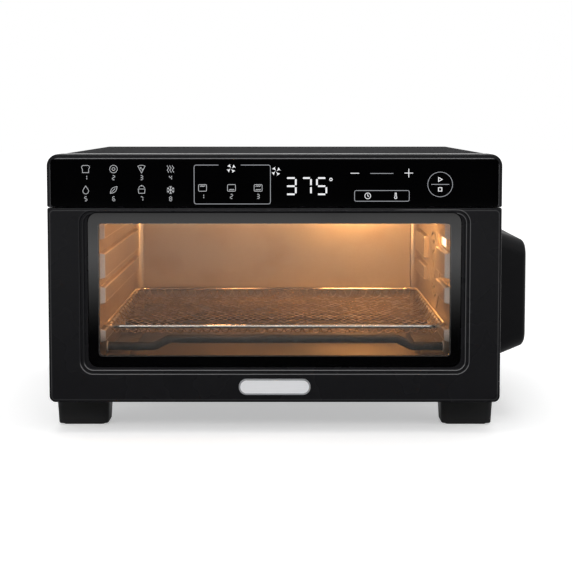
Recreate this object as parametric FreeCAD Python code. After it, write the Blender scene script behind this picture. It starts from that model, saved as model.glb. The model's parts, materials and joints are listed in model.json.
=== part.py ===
import FreeCAD, Part
import math
import os

from FreeCAD import Vector

os.makedirs("parts", exist_ok=True)

# Air fryer toaster oven, in millimetres.
# While the pieces are made, X runs across the front from its middle (to the right as you face the
# door), Y runs back from the door's face and Z runs up from the table. The save function then moves
# every piece so that the origin is the middle of the whole oven, at table level.

# Overall sizes
front_width = 403.0
front_height = 222.0
body_depth = 322.0
foot_height = 27.5
corner_radius = 10.5
spacer_reach = 8.0
cover_reach = 36.5

# Sheet metal and general clearances
sheet = 1.0
shell_inset = 0.5
shell_gap = 1.0
seat_gap = 0.3
panel_gap = 0.2
running_gap = 0.05

# Door
door_thickness = 22.0
door_fascia_gap = 0.6
hinge_height = 6.0
hinge_from_back = 6.0
hinge_pin_radius = 2.5
hinge_bush_wall = 1.25
hinge_lug_width = 8.0
hinge_lug_height = 9.0
hinge_lug_inset = 29.5
hinge_bush_length = 9.0
hinge_plate = 1.5
hinge_plate_width = 26.0
hinge_plate_height = 21.0
spring_wire_radius = 0.45
spring_turns = 5
spring_pitch = 1.3
notch_gap = 1.0
door_lower_radius = 5.6
door_upper_radius = 1.5
door_edge_radius = 1.6
surround_side = 28.3
surround_bottom = 25.8
surround_top_rim = 2.1
surround_radius = 11.5
surround_step = 1.5
surround_ledge = 3.4
surround_slope = 0.9
glass_gap = 0.3
glass_edge_radius = 0.5
glass_side = 7.0
glass_foot = 5.7
glass_head = 2.2
glass_radius = 8.5
glass_thickness = 3.2
glass_recess = 3.0
window_side = 9.4
window_foot = 9.8
window_head = 9.9
window_radius = 3.0
window_clearance = 3.0
inner_glass_thickness = 3.0
inner_glass_margin = 8.0
inner_panel_side = 4.5
inner_panel_top = 4.0
gasket_width = 6.0
gasket_thickness = 2.2
gasket_margin = 1.5
badge_length = 64.0
badge_height = 14.3
badge_thickness = 1.6
badge_above_bottom = 14.1
badge_proud = 0.6
badge_rim = 1.3
badge_dish = 0.3
badge_gap = 0.2
panel_radius = 3.0
panel_fit = 0.2
door_screw_head_radius = 2.8
door_screw_side = 10.5
door_screw_foot = 38.0
door_screw_head = 11.5

# Fascia and its touch glass
fascia_height = 47.0
fascia_depth = 24.5
fascia_wall = 2.5
fascia_pocket_front = 5.0
fascia_edge_radius = 1.3
fascia_lower_radius = 1.5
touch_glass_side = 3.5
touch_glass_head = 4.6
touch_glass_above = 0.6
touch_glass_ledge = 5.0
touch_glass_thickness = 3.0
touch_glass_radius = 3.5
touch_glass_recess = 0.4
board_front = 12.0
board_side = 21.5
board_height = 32.0
board_thickness = 1.6
carrier_thickness = 2.0
carrier_post_radius = 3.0
display_width = 62.0
display_height = 24.0
display_depth = 6.0
display_x = 34.0
touch_glass_gap = 0.2
cable_slot_x = -120.0
cable_slot_width = 50.0
cable_slot_height = 14.0
carrier_pin_radius = 1.2
carrier_bar_half = 2.0
carrier_from_side = 31.5
carrier_half_height = 11.0
chip_x = -52.0
chip_size = 16.0
chip_thickness = 1.6
socket_x = -118.0
socket_width = 24.0
socket_height = 10.0
socket_depth = 6.0

# Cavity; its floor is above the body's bottom, and ribs, fan and lamp are above that floor
cavity_side_space = 41.5
cavity_floor_above = 31.0
top_rib_below_roof = 38.0
top_rib_height = 15.0
cavity_roof_below = 41.0
cavity_rear_space = 24.5
mouth_lip = 19.0
mouth_radius = 6.0
mouth_sill = 2.5
rib_reach = 5.0
rib_end_gap = 5.0
basket_rib_above = 18.0
basket_rib_height = 12.0
low_rib_above = 53.0
low_rib_height = 16.0
middle_rib_above = 76.0
middle_rib_height = 24.0

# Heaters
heater_radius = 4.0
heater_upper_below_roof = 11.0
heater_lower_above_floor = 13.0
heater_joggle = 7.0
heater_front_at = 50.0
heater_rear_at = 180.0
heater_left_run = 45.0
heater_right_run = 30.0
heater_bend_radius = 10.0
heater_bush_radius = 7.0
heater_bush_length = 9.0
heater_tail = 6.0

# Basket
basket_gap = 1.2
basket_wire_radius = 1.8
basket_front_at = 5.0
basket_rear_gap = 8.0
basket_corner = 18.0
basket_depth = 8.0
basket_draft = 6.0
basket_net = 1.2
basket_gaps_across = 20
basket_gaps_deep = 15
basket_bar = 2.2

# Crumb tray
tray_margin = 14.0
tray_rim = 4.5
tray_sheet = 0.8
tray_drop = 7.0
tray_lip_height = 12.0
tray_lip_thickness = 3.0
tray_guide_width = 8.0
tray_slot_gap = 1.0
tray_pull_half = 25.0
tray_window_margin = 8.0

# Hot air fan and motor, on the right
fan_back = 150.0
fan_above = 76.0
fan_hub_radius = 9.0
fan_radius = 34.0
fan_blades = 8
fan_thickness = 10.0
chamber_radius = 41.0
chamber_depth = 17.0
guard_radius = 46.0
guard_slot_width = 3.0
guard_rings = (14.0, 23.0, 32.0)
shaft_radius = 3.0
bush_radius = 6.0
bush_length = 5.0
motor_radius = 22.0
motor_length = 20.0
motor_gap = 4.0
cooling_fan_radius = 26.0
cooling_fan_blades = 6
cooling_fan_thickness = 7.0
impeller_gap = 3.0
cooling_fan_gap = 2.0
motor_wall = 2.0
guard_hole_radius = 4.0
guard_first_slots = 4
guard_bridge_angle = 12.0
rotor_gap = 1.0
bracket_half_height = 36.0
bracket_width = 24.0
bracket_foot = 6.0
blade_sheet = 1.0
shaft_nut = 1.5
motor_window_radius = 8.0

# Side cover, given at its root and at its outer face; its height is above the body's bottom
cover_root_front = 54.0
cover_root_length = 192.0
cover_root_above = 26.8
cover_root_height = 123.4
cover_front_draft = 21.0
cover_rear_draft = 21.0
cover_top_draft = 13.0
cover_bottom_draft = 10.0
cover_corner = 15.0
cover_edge_radius = 7.0
cover_wall = 1.8
cover_tab_thickness = 1.6
cover_tab_width = 8.0
cover_tab_inset = 0.8
cover_tab_from_end = 40.0
cover_vents = 7
cover_vent_first = 24.0
cover_vent_pitch = 9.0
cover_vent_height = 3.5

# Lamp
lamp_back = 80.0
lamp_width = 40.0
lamp_height = 9.0
lamp_below_roof = 44.0
lamp_holder_depth = 26.0
lamp_glass_thickness = 2.0
lamp_bulb_radius = 3.2
lamp_base_length = 6.0
lamp_holder_wall = 2.0
lamp_seat = 2.5

# Probe and thermal cut-out
probe_from_wall = 65.0
probe_below_roof = 23.0
probe_radius = 2.0
probe_inside = 26.0
probe_outside = 9.0
probe_flange_radius = 5.5
probe_flange = 2.0
cutout_x = -40.0
cutout_radius = 8.0
cutout_height = 7.0
cutout_ear = 24.0
cutout_blade = 6.0
cutout_blade_width = 3.0
cutout_blade_thickness = 0.8

# Case: louvres, vents, cord inlet, spacers and power board
back_flange = 10.0
louvre_rows = 6
louvre_columns = 6
louvre_half_span = 110.0
louvre_width = 28.0
louvre_height = 3.0
louvre_pitch = 7.0
louvre_below_top = 36.0
vent_rows = 5
vent_columns = 6
vent_half_span = 120.0
vent_width = 30.0
vent_depth = 4.0
vent_pitch = 12.0
vent_front_at = 90.0
base_upstand = 10.0
roof_rail_inset = 12.0
roof_rail_half = 4.0
gland_from_side = 66.5
gland_above = 62.0
gland_radius = 8.0
gland_bore_radius = 3.8
gland_collar_radius = 11.0
gland_collar = 5.0
gland_inside = 8.0
spacer_from_side = 51.5
spacer_above = 147.0
spacer_width = 16.0
spacer_height = 34.0
spacer_corner = 4.0
spacer_edge_radius = 2.0
power_board_x = -80.0
power_board_y = 220.0
power_board_width = 110.0
power_board_depth = 80.0
power_board_lift = 5.0
board_corner = 3.0
standoff_inset = 8.0
standoff_radius = 3.0
standoff_pin_radius = 1.5
relay_width = 14.0
relay_depth = 22.0
relay_height = 11.0
relay_pitch = 20.0
transformer_width = 24.0
transformer_depth = 28.0
transformer_height = 13.0
capacitor_radius = 6.0
capacitor_height = 12.0

# Feet
foot_width = 48.6
foot_depth = 30.0
foot_taper = 1.6
foot_inset = 25.7
foot_front_at = 27.0
foot_rear_margin = 14.0
pad_thickness = 1.5
pad_margin = 4.0
foot_corner = 5.0
foot_edge_radius = 0.8
foot_screw_depth = 8.0

# Fasteners
screw_head_radius = 3.5
screw_head_height = 1.8
screw_shank_radius = 1.6
screw_shank_length = 6.0
screw_edge_radius = 0.6
cross_reach = 0.62
cross_width = 0.8
cross_depth = 0.9
screw_from_side = 12.0
back_screw_foot = 14.0
back_screw_head = 16.0

# Places worked out from the sizes above
half_front = front_width / 2
front_bottom = foot_height
front_top = foot_height + front_height
door_height = front_height - fascia_height - door_fascia_gap
door_top = front_bottom + door_height
fascia_bottom = door_top + door_fascia_gap
surround_width = front_width - 2 * surround_side
surround_height = door_height - surround_bottom - surround_top_rim
glass_width = surround_width - 2 * glass_side
glass_height = surround_height - glass_foot - glass_head
glass_bottom = surround_bottom + glass_foot
window_width = glass_width - 2 * window_side
window_height = glass_height - window_foot - window_head
window_bottom = glass_bottom + window_foot
opening_width = window_width + 2 * window_clearance
opening_height = window_height + 2 * window_clearance
opening_radius = window_radius + window_clearance
touch_glass_width = front_width - 2 * touch_glass_side
board_width = front_width - 2 * board_side
carrier_xs = (carrier_from_side - half_front, 0.0, half_front - carrier_from_side)
touch_glass_height = fascia_height - touch_glass_head - touch_glass_above
cavity_height = front_height - cavity_floor_above - cavity_roof_below
cavity_depth = body_depth - fascia_depth - sheet - cavity_rear_space
rack_ribs = ((low_rib_above, low_rib_height), (middle_rib_above, middle_rib_height),
             (cavity_height - top_rib_below_roof, top_rib_height))
frame_front = fascia_depth
frame_back = frame_front + sheet
cavity_front = frame_back
cavity_bottom = front_bottom + cavity_floor_above
cavity_left = half_front - cavity_side_space
cavity_right = half_front - cavity_side_space
basket_rib_bottom = cavity_bottom + basket_rib_above
fan_height = cavity_bottom + fan_above
cover_root_bottom = front_bottom + cover_root_above
cavity_back = cavity_front + cavity_depth
cavity_top = cavity_bottom + cavity_height
cavity_middle = (cavity_right - cavity_left) / 2
shell_half = half_front - shell_inset
shell_top = front_top - shell_inset
shell_front = frame_front + shell_gap
base_bottom = foot_height + 0.5
mouth_bottom = cavity_bottom + mouth_sill
mouth_top = cavity_top - mouth_lip
hinge_y = door_thickness - hinge_from_back
hinge_z = front_bottom + hinge_height
hinge_bush_radius = hinge_pin_radius + hinge_bush_wall
lug_x = half_front - hinge_lug_inset
basket_rim_z = basket_rib_bottom + basket_rib_height + seat_gap + basket_wire_radius
basket_half = (cavity_left + cavity_right) / 2 - basket_gap
basket_front = cavity_front + basket_front_at
basket_back = cavity_back - basket_rear_gap
tray_top = cavity_bottom - sheet - seat_gap
heater_ys = (cavity_front + heater_front_at, cavity_front + heater_rear_at)
cover_out = half_front + cover_reach


def box(x0, x1, y0, y1, z0, z1):
    """A plain block between two corners."""
    return Part.makeBox(x1 - x0, y1 - y0, z1 - z0, Vector(x0, y0, z0))


def rod(start, axis, radius, length):
    """A round bar from a start point along an axis."""
    return Part.makeCylinder(radius, length, Vector(*start), Vector(*axis))


def ring(start, axis, outer, inner, length):
    """A round bar with a round hole."""
    return rod(start, axis, outer, length).cut(rod(start, axis, inner, length))


def rounded_outline(width, height, radius):
    """A rectangle about the origin in the XY plane, with round corners."""
    a = width / 2
    b = height / 2
    r = min(radius, a * 0.98, b * 0.98)
    q = r * math.sqrt(0.5)
    edges = []
    corners = ((a, b, 0), (-a, b, 1), (-a, -b, 2), (a, -b, 3))
    sides = []
    for x, y, turn in corners:
        cx = x - math.copysign(r, x)
        cy = y - math.copysign(r, y)
        first = Vector(cx + r * math.cos(turn * math.pi / 2), cy + r * math.sin(turn * math.pi / 2), 0)
        last_angle = (turn + 1) * math.pi / 2
        last = Vector(cx + r * math.cos(last_angle), cy + r * math.sin(last_angle), 0)
        middle = Vector(cx + math.copysign(q, x), cy + math.copysign(q, y), 0)
        sides.append((first, middle, last))
    for index, (first, middle, last) in enumerate(sides):
        edges.append(Part.Arc(first, middle, last).toShape())
        following = sides[(index + 1) % 4][0]
        edges.append(Part.LineSegment(last, following).toShape())
    return Part.Wire(edges)


def front_outline(x, y, z, width, height, radius):
    """A rounded rectangle that faces the front, centred at x and z, in the plane at depth y."""
    wire = rounded_outline(width, height, radius)
    wire.rotate(Vector(0, 0, 0), Vector(1, 0, 0), 90)
    wire.translate(Vector(x, y, z))
    return wire


def front_plate(x, y, z, width, height, radius, thickness):
    """A plate with round corners that faces the front, from depth y back by its thickness."""
    face = Part.Face(front_outline(x, y, z, width, height, radius))
    return face.extrude(Vector(0, thickness, 0))


def flat_plate(x, y, z, width, depth, radius, thickness):
    """A level plate with round corners, from height z up by its thickness."""
    wire = rounded_outline(width, depth, radius)
    wire.translate(Vector(x, y, z))
    return Part.Face(wire).extrude(Vector(0, 0, thickness))


def soften_front(shape, y, radius):
    """A plate with the edges of its front face, which lies at depth y, rounded."""
    return shape.makeFillet(radius, [edge for edge in shape.Edges if edge.BoundBox.YMax < y + 0.01])


def tapered_cutter(front, back):
    """A cutter whose walls slope, between two rounded rectangles given as (y, z, width, height, radius)."""
    return Part.makeLoft([front_outline(0, *front), front_outline(0, *back)], True, True)


def side_outline(x, y, z, depth, height, radius):
    """A rounded rectangle that faces sideways, in the plane at x."""
    wire = rounded_outline(depth, height, radius)
    wire.rotate(Vector(0, 0, 0), Vector(1, 0, 0), 90)
    wire.rotate(Vector(0, 0, 0), Vector(0, 0, 1), 90)
    wire.translate(Vector(x, y, z))
    return wire


def side_plate(x, y, z, depth, height, radius, thickness):
    """A plate with round corners that faces sideways, from x by its thickness along X."""
    face = Part.Face(side_outline(x, y, z, depth, height, radius))
    return face.extrude(Vector(thickness, 0, 0))


def cut_all(shape, tools):
    """A shape less a list of tools."""
    return shape.cut(Part.makeCompound(tools)) if tools else shape


def join(shapes):
    """Several shapes as one solid."""
    return shapes[0].fuse(shapes[1:]).removeSplitter()


def save(name, shape):
    """Move one node to the oven's origin and write its file."""
    placed = shape.copy()
    placed.translate(Vector(-cover_reach / 2, (badge_proud - body_depth - spacer_reach) / 2, 0))
    solids = placed.Solids
    kept = solids[0] if len(solids) == 1 else Part.makeCompound(solids)
    kept.exportStep("parts/" + name + ".step")
    valid = all(solid.isValid() for solid in solids)
    print(name, len(solids), "solids", round(kept.Volume), "mm3", "valid" if valid else "NOT VALID")


def rib(wall_x, inward, y0, y1, z0, height):
    """An embossed rack rib on a side wall: its solid and the hollow behind it."""
    slope = rib_reach * 0.25
    far = wall_x + inward * rib_reach
    back = wall_x - inward * sheet
    face = far - inward * sheet

    def bar(x0, x1, low, high, lean, start, end):
        points = [Vector(x0, start, low), Vector(x1, start, low + lean), Vector(x1, start, high - lean)]
        points += [Vector(x0, start, high), Vector(x0, start, low)]
        return Part.Face(Part.makePolygon(points)).extrude(Vector(0, end - start, 0))

    solid = bar(back, far, z0, z0 + height, slope, y0, y1)
    hollow = bar(back, face, z0 + sheet, z0 + height - sheet, slope, y0 + sheet, y1 - sheet)
    return solid, hollow


def heater_z(upper):
    """Height of a heater's main run."""
    if upper:
        return cavity_top - heater_upper_below_roof
    return cavity_bottom + heater_lower_above_floor


def heater_end_z(upper):
    """Height at which a heater leaves through the side walls."""
    return heater_z(upper) - (0 if upper else heater_joggle)


def heater_holes(x0, x1):
    """Tools that cut the heaters' holes through a wall between two X places."""
    tools = []
    for upper in (True, False):
        for y in heater_ys:
            start = (x0 - 1, y, heater_end_z(upper))
            tools.append(rod(start, (1, 0, 0), heater_bush_radius - 2, x1 - x0 + 2))
    return tools


def slots_across(x0, x1, count, width, y0, y1, z0, z1):
    """A row of evenly spaced blocks that cut a row of slots."""
    pitch = (x1 - x0) / count
    tools = []
    for index in range(count):
        middle = x0 + pitch * (index + 0.5)
        tools.append(box(middle - width / 2, middle + width / 2, y0, y1, z0, z1))
    return tools


# Places of the fasteners, as X and Z pairs, and of the pieces of the case
back_screw_x = shell_half - screw_from_side
back_screw_zs = (front_bottom + back_screw_foot, front_bottom + front_height / 2, front_top - back_screw_head)
back_screw_places = [(sx * back_screw_x, z) for sx in (-1, 1) for z in back_screw_zs]
door_screw_x = half_front - door_screw_side
door_screw_zs = (front_bottom + door_screw_foot, front_bottom + door_height / 2, door_top - door_screw_head)
door_screw_places = [(sx * door_screw_x, z) for sx in (-1, 1) for z in door_screw_zs]
foot_x = half_front - foot_inset
foot_ys = (foot_front_at + foot_depth / 2, body_depth - foot_rear_margin - foot_depth / 2)
gland_x = gland_from_side - half_front
gland_z = front_bottom + gland_above
spacer_x = half_front - spacer_from_side
spacer_z = front_bottom + spacer_above
tray_half = (cavity_left + cavity_right) / 2 - tray_margin
tray_bottom = tray_top - tray_rim
tray_front = cavity_front + tray_drop
shell_inner_half = shell_half - sheet
motor_window = 2 * cooling_fan_radius + 10.0
probe_x = cavity_right - probe_from_wall
probe_z = cavity_top - probe_below_roof
lamp_height_z = cavity_top - lamp_below_roof


def make_front_frame():
    """The steel face that the door shuts against, with the mouth of the cavity."""
    half = shell_inner_half - panel_gap
    low = base_bottom
    high = shell_top - sheet - panel_gap
    radius = corner_radius - sheet - panel_gap
    plate = front_plate(0, frame_front, (low + high) / 2, 2 * half, high - low, radius, sheet)
    tools = [mouth_cutter(frame_front - 1, sheet + 2, 0)]
    cable_z = (fascia_bottom + front_top) / 2
    tools.append(front_plate(cable_slot_x, frame_front - 1, cable_z, cable_slot_width, cable_slot_height,
                             cable_slot_height / 4, sheet + 2))
    return cut_all(plate, tools)


def mouth_cutter(y, thickness, margin):
    """The cavity mouth's outline, grown by a margin, as a plate."""
    width = cavity_left + cavity_right + 2 * margin
    height = mouth_top - mouth_bottom + 2 * margin
    middle = (mouth_top + mouth_bottom) / 2
    return front_plate(cavity_middle, y, middle, width, height, mouth_radius + margin, thickness)


def make_outer_shell():
    """One bent sheet over the top and both sides, with the opening for the fan motor."""
    length = body_depth - shell_front
    tall = shell_top
    outer = front_plate(0, shell_front, shell_top - tall / 2, 2 * shell_half, tall, corner_radius, length)
    inner_half = shell_half - sheet
    inner_radius = corner_radius - sheet
    middle = shell_top - sheet - tall / 2
    inner = front_plate(0, shell_front - 1, middle, 2 * inner_half, tall, inner_radius, length + 2)
    shell = outer.cut(inner)
    under = box(-half_front, half_front, 0, body_depth + 1, -tall, base_bottom)
    opening = side_plate(shell_half - 2 * sheet, fan_back, fan_height, motor_window, motor_window,
                         motor_window_radius, 3 * sheet)
    return cut_all(shell, [under, opening] + cover_tabs(seat_gap))


def make_back_panel():
    """The rear cover: a shallow tray inside the shell, with louvres and the slot for the crumb tray."""
    half = shell_inner_half - panel_gap
    low = base_bottom + sheet + panel_gap
    high = shell_top - sheet - panel_gap
    middle = (low + high) / 2
    flange = back_flange
    radius = corner_radius - sheet - panel_gap
    outer = front_plate(0, body_depth - flange, middle, 2 * half, high - low, radius, flange)
    tall = high - low - 2 * sheet
    wide = 2 * half - 2 * sheet
    inner = front_plate(0, body_depth - flange - 1, middle, wide, tall, radius - sheet, flange + 1 - sheet)
    tools = [inner, tray_slot(body_depth - flange - 1, flange + 2)]
    tools.append(rod((gland_x, body_depth - 3, gland_z), (0, 1, 0), gland_radius, 5))
    for row in range(louvre_rows):
        z = front_top - louvre_below_top - row * louvre_pitch
        tools += slots_across(-louvre_half_span, louvre_half_span, louvre_columns, louvre_width,
                              body_depth - 3, body_depth + 1, z, z + louvre_height)
    for x, z in back_screw_places:
        tools.append(rod((x, body_depth - 3, z), (0, 1, 0), screw_shank_radius + running_gap, 5))
    return cut_all(outer, tools)


def tray_slot(y, length):
    """The space that the crumb tray slides through in a panel."""
    half = tray_half + tray_slot_gap
    low = tray_bottom - tray_slot_gap
    high = tray_top + tray_slot_gap
    return box(cavity_middle - half, cavity_middle + half, y, y + length, low, high)


def make_base_pan():
    """The bottom, a tray with raised sides, vent slots and the feet's screw holes."""
    half = shell_inner_half - panel_gap
    top = base_bottom + sheet
    plate = box(-half, half, frame_back, body_depth, base_bottom, top)
    for side in (-1, 1):
        low = min(side * half, side * (half - sheet))
        plate = plate.fuse(box(low, low + sheet, frame_back, body_depth - back_flange - 2, top,
                               top + base_upstand))
    tools = []
    for row in range(vent_rows):
        y = vent_front_at + row * vent_pitch
        tools += slots_across(-vent_half_span, vent_half_span, vent_columns, vent_width, y, y + vent_depth,
                              base_bottom - 1, top + 1)
    for side in (-1, 1):
        for y in foot_ys:
            start = (side * foot_x, y, base_bottom - 1)
            tools.append(rod(start, (0, 0, 1), screw_shank_radius + running_gap, sheet + 2))
    return cut_all(plate.removeSplitter(), tools)


def cover_tabs(gap):
    """Four tabs by which the side cover hooks into the shell, grown by a gap for their slots."""
    tabs = []
    wall = cover_tab_thickness
    half = cover_tab_width / 2 + gap
    x0 = shell_half - 2 * sheet - gap
    lowest = cover_root_bottom + cover_tab_inset
    highest = cover_root_bottom + cover_root_height - cover_tab_inset - wall
    cover_root_rear = cover_root_front + cover_root_length
    for y in (cover_root_front + cover_tab_from_end, cover_root_rear - cover_tab_from_end):
        for low in (lowest, highest):
            tabs.append(box(x0, shell_half + 2, y - half, y + half, low - gap, low + wall + gap))
    return tabs


def make_side_wall(left):
    """A cavity side wall with its embossed rack ribs; the right one has the fan and lamp openings."""
    wall_x = -cavity_left if left else cavity_right
    inward = 1 if left else -1
    outside = wall_x - inward * sheet
    low = base_bottom + sheet
    x0 = min(wall_x, outside)
    wall = box(x0, x0 + sheet, cavity_front, cavity_back, low, cavity_top)
    rib_start = cavity_front + rib_end_gap
    rib_end = cavity_back - rib_end_gap
    spans = [(basket_rib_bottom, basket_rib_height, rib_start, rib_end)]
    guard_clear = guard_radius + rib_end_gap
    for above, height in rack_ribs:
        bottom = cavity_bottom + above
        if left:
            spans.append((bottom, height, rib_start, rib_end))
            continue
        spans.append((bottom, height, rib_start, fan_back - guard_clear))
        spans.append((bottom, height, fan_back + guard_clear, rib_end))
    hollows = []
    solids = []
    for bottom, height, y0, y1 in spans:
        solid, hollow = rib(wall_x, inward, y0, y1, bottom, height)
        solids.append(solid)
        hollows.append(hollow)
    wall = wall.fuse(solids).cut(Part.makeCompound(hollows))
    tools = heater_holes(x0, x0 + sheet)
    if not left:
        tools.append(rod((x0 - 1, fan_back, fan_height), (1, 0, 0), chamber_radius, sheet + 2))
        tools.append(side_plate(x0 - 1, lamp_back, lamp_height_z, lamp_width, lamp_height, 2, sheet + 2))
    return cut_all(wall, tools)


def make_cavity_roof():
    """The sheet that closes the cavity above, resting on the side walls."""
    left = -cavity_left - sheet
    right = cavity_right + sheet
    roof = box(left, right, cavity_front, cavity_back + sheet, cavity_top, cavity_top + sheet)
    rails = []
    for part in (0.3, 0.7):
        y = cavity_front + cavity_depth * part
        rails.append(box(left + roof_rail_inset, right - roof_rail_inset, y - roof_rail_half,
                         y + roof_rail_half, cavity_top + sheet, cavity_top + 3 * sheet))
    return join([roof] + rails)


def make_cavity_floor():
    """The sheet between the side walls, with the wide window above the crumb tray."""
    floor = box(-cavity_left, cavity_right, cavity_front, cavity_back, cavity_bottom - sheet, cavity_bottom)
    margin = tray_margin + tray_window_margin
    width = cavity_left + cavity_right - 2 * margin
    depth = cavity_depth - 2 * margin
    middle_y = (cavity_front + cavity_back) / 2
    window = flat_plate(cavity_middle, middle_y, cavity_bottom - 2 * sheet, width, depth, 10, 3 * sheet)
    return floor.cut(window)


def make_cavity_back_wall():
    """The rear wall of the cavity, with the crumb tray's slot and the probe's hole."""
    low = base_bottom + sheet
    left = -cavity_left - sheet
    right = cavity_right + sheet
    wall = box(left, right, cavity_back, cavity_back + sheet, low, cavity_top)
    hole = rod((probe_x, cavity_back - 1, probe_z), (0, 1, 0), probe_radius + running_gap, sheet + 2)
    return cut_all(wall, [tray_slot(cavity_back - 1, sheet + 2), hole])


def make_temperature_probe():
    """The thin sensing rod that reaches through the rear wall."""
    start = (probe_x, cavity_back - probe_inside, probe_z)
    tip = rod(start, (0, 1, 0), probe_radius, probe_inside + sheet + probe_outside)
    flange = rod((probe_x, cavity_back + sheet, probe_z), (0, 1, 0), probe_flange_radius, probe_flange)
    return join([tip, flange])


def make_thermal_cutout():
    """The safety switch that sits on the cavity's roof, with its two ears."""
    z = cavity_top + sheet
    y = cavity_front + cavity_depth / 2
    can = rod((cutout_x, y, z), (0, 0, 1), cutout_radius, cutout_height)
    ears = flat_plate(cutout_x, y, z, cutout_ear, 2 * cutout_radius * 0.6, 4, sheet)
    blades = []
    for side in (-1, 1):
        x = cutout_x + side * cutout_radius / 2
        blades.append(box(x - cutout_blade_width / 2, x + cutout_blade_width / 2,
                          y - cutout_blade_thickness / 2, y + cutout_blade_thickness / 2,
                          z, z + cutout_height + cutout_blade))
    return join([can, ears] + blades)


def bent_rod(points, radius, bend):
    """A round bar along straight runs joined by tangent arcs."""
    edges = []
    start = points[0]
    for index in range(1, len(points) - 1):
        corner = points[index]
        to_back = (points[index - 1] - corner).normalize()
        to_next = (points[index + 1] - corner).normalize()
        half_turn = (math.pi - to_back.getAngle(to_next)) / 2
        reach = bend * math.tan(half_turn)
        first = corner + to_back * reach
        last = corner + to_next * reach
        inside = (to_back + to_next).normalize()
        centre = corner + inside * (bend / math.cos(half_turn))
        middle = centre - inside * bend
        edges.append(Part.LineSegment(start, first).toShape())
        edges.append(Part.Arc(first, middle, last).toShape())
        start = last
    edges.append(Part.LineSegment(start, points[-1]).toShape())
    path = Part.Wire(edges)
    profile = Part.Wire([Part.Circle(points[0], points[1] - points[0], radius).toShape()])
    return path.makePipeShell([profile], True, True)


def make_heater(upper, y):
    """One sheathed heater across the cavity, stepped down to its ends when it is a lower one."""
    left = -cavity_left - sheet - heater_bush_length - heater_tail
    right = cavity_right + sheet + heater_bush_length + heater_tail
    if upper:
        return rod((left, y, heater_z(True)), (1, 0, 0), heater_radius, right - left)
    low = heater_end_z(False)
    high = heater_z(False)
    step = 2 * heater_joggle
    inner_left = -cavity_left + heater_left_run
    inner_right = cavity_right - heater_right_run
    points = [Vector(left, y, low), Vector(inner_left, y, low), Vector(inner_left + step, y, high)]
    points += [Vector(inner_right - step, y, high), Vector(inner_right, y, low), Vector(right, y, low)]
    return bent_rod(points, heater_radius, heater_bend_radius)


def make_heater_bushes():
    """The ceramic bushes that carry the heaters in the side walls, one at each end."""
    bushes = []
    for upper in (True, False):
        for y in heater_ys:
            z = heater_end_z(upper)
            for left in (True, False):
                wall = -cavity_left - sheet if left else cavity_right + sheet
                out = -1 if left else 1
                collar = rod((wall, y, z), (out, 0, 0), heater_bush_radius, heater_bush_length)
                neck = rod((wall - out * 2 * sheet, y, z), (out, 0, 0), heater_bush_radius - 2, 3 * sheet)
                hole = rod((wall - out * 3 * sheet, y, z), (out, 0, 0), heater_radius, heater_bush_length + 9)
                bushes.append(collar.fuse(neck).cut(hole).removeSplitter())
    return Part.makeCompound(bushes)


def basket_outline(inset, z):
    """The basket's outline drawn in by an inset, at a height."""
    width = 2 * (basket_half - inset)
    depth = basket_back - basket_front - 2 * inset
    wire = rounded_outline(width, depth, max(basket_corner - inset, 4))
    wire.translate(Vector(cavity_middle, (basket_front + basket_back) / 2, z))
    return wire


def make_basket_rim():
    """The polished wire that runs round the basket's top edge."""
    path = basket_outline(basket_wire_radius, basket_rim_z)
    start = path.Edges[1].valueAt(path.Edges[1].FirstParameter)
    along = path.Edges[1].tangentAt(path.Edges[1].FirstParameter)
    profile = Part.Wire([Part.Circle(start, along, basket_wire_radius).toShape()])
    ordered = Part.Wire(list(path.Edges[1:]) + [path.Edges[0]])
    return ordered.makePipeShell([profile], True, True)


def make_basket_net():
    """The basket's wire net as a shallow dish: sloping sides and a floor with rows of gaps."""
    top_inset = 2 * basket_wire_radius + seat_gap
    low_inset = top_inset + basket_draft
    top_z = basket_rim_z
    low_z = basket_rim_z - basket_depth
    outer = Part.makeLoft([basket_outline(low_inset, low_z), basket_outline(top_inset, top_z)], True, True)
    slant = basket_net * 1.3
    inner_low = basket_outline(low_inset + slant, low_z + basket_net)
    inner_top = basket_outline(top_inset + slant, top_z + basket_net)
    dish = outer.cut(Part.makeLoft([inner_low, inner_top], True, True))
    width = 2 * (basket_half - low_inset) - 2 * basket_corner / 2
    depth = basket_back - basket_front - 2 * low_inset - 2 * basket_corner / 2
    pitch_x = width / basket_gaps_across
    pitch_y = depth / basket_gaps_deep
    middle_y = (basket_front + basket_back) / 2
    gaps = []
    for i in range(basket_gaps_across):
        x0 = cavity_middle - width / 2 + i * pitch_x + basket_bar / 2
        for j in range(basket_gaps_deep):
            y0 = middle_y - depth / 2 + j * pitch_y + basket_bar / 2
            x1 = x0 + pitch_x - basket_bar
            y1 = y0 + pitch_y - basket_bar
            gaps.append(box(x0, x1, y0, y1, low_z - 1, low_z + basket_net + 1))
    return dish.cut(Part.makeCompound(gaps))


def make_crumb_tray():
    """The shallow tray under the floor window, with the lip and pull that show at the rear."""
    x0 = cavity_middle - tray_half
    x1 = cavity_middle + tray_half
    end = body_depth + seat_gap
    outer = box(x0, x1, tray_front, end, tray_bottom, tray_top)
    wall = tray_sheet
    inner = box(x0 + wall, x1 - wall, tray_front + wall, end - wall, tray_bottom + wall, tray_top + 1)
    lip_low = tray_bottom - (tray_lip_height - tray_rim) / 2
    lip_x0 = x0 - 2 * tray_slot_gap
    lip_x1 = x1 + 2 * tray_slot_gap
    lip = box(lip_x0, lip_x1, end, end + tray_lip_thickness, lip_low, lip_low + tray_lip_height)
    pull_reach = spacer_reach - tray_lip_thickness - 2 * seat_gap
    pull_end = end + tray_lip_thickness + pull_reach
    pull = box(-tray_pull_half, tray_pull_half, end, pull_end, lip_low, lip_low + tray_lip_thickness)
    return join([outer.cut(inner), lip, pull])


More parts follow.
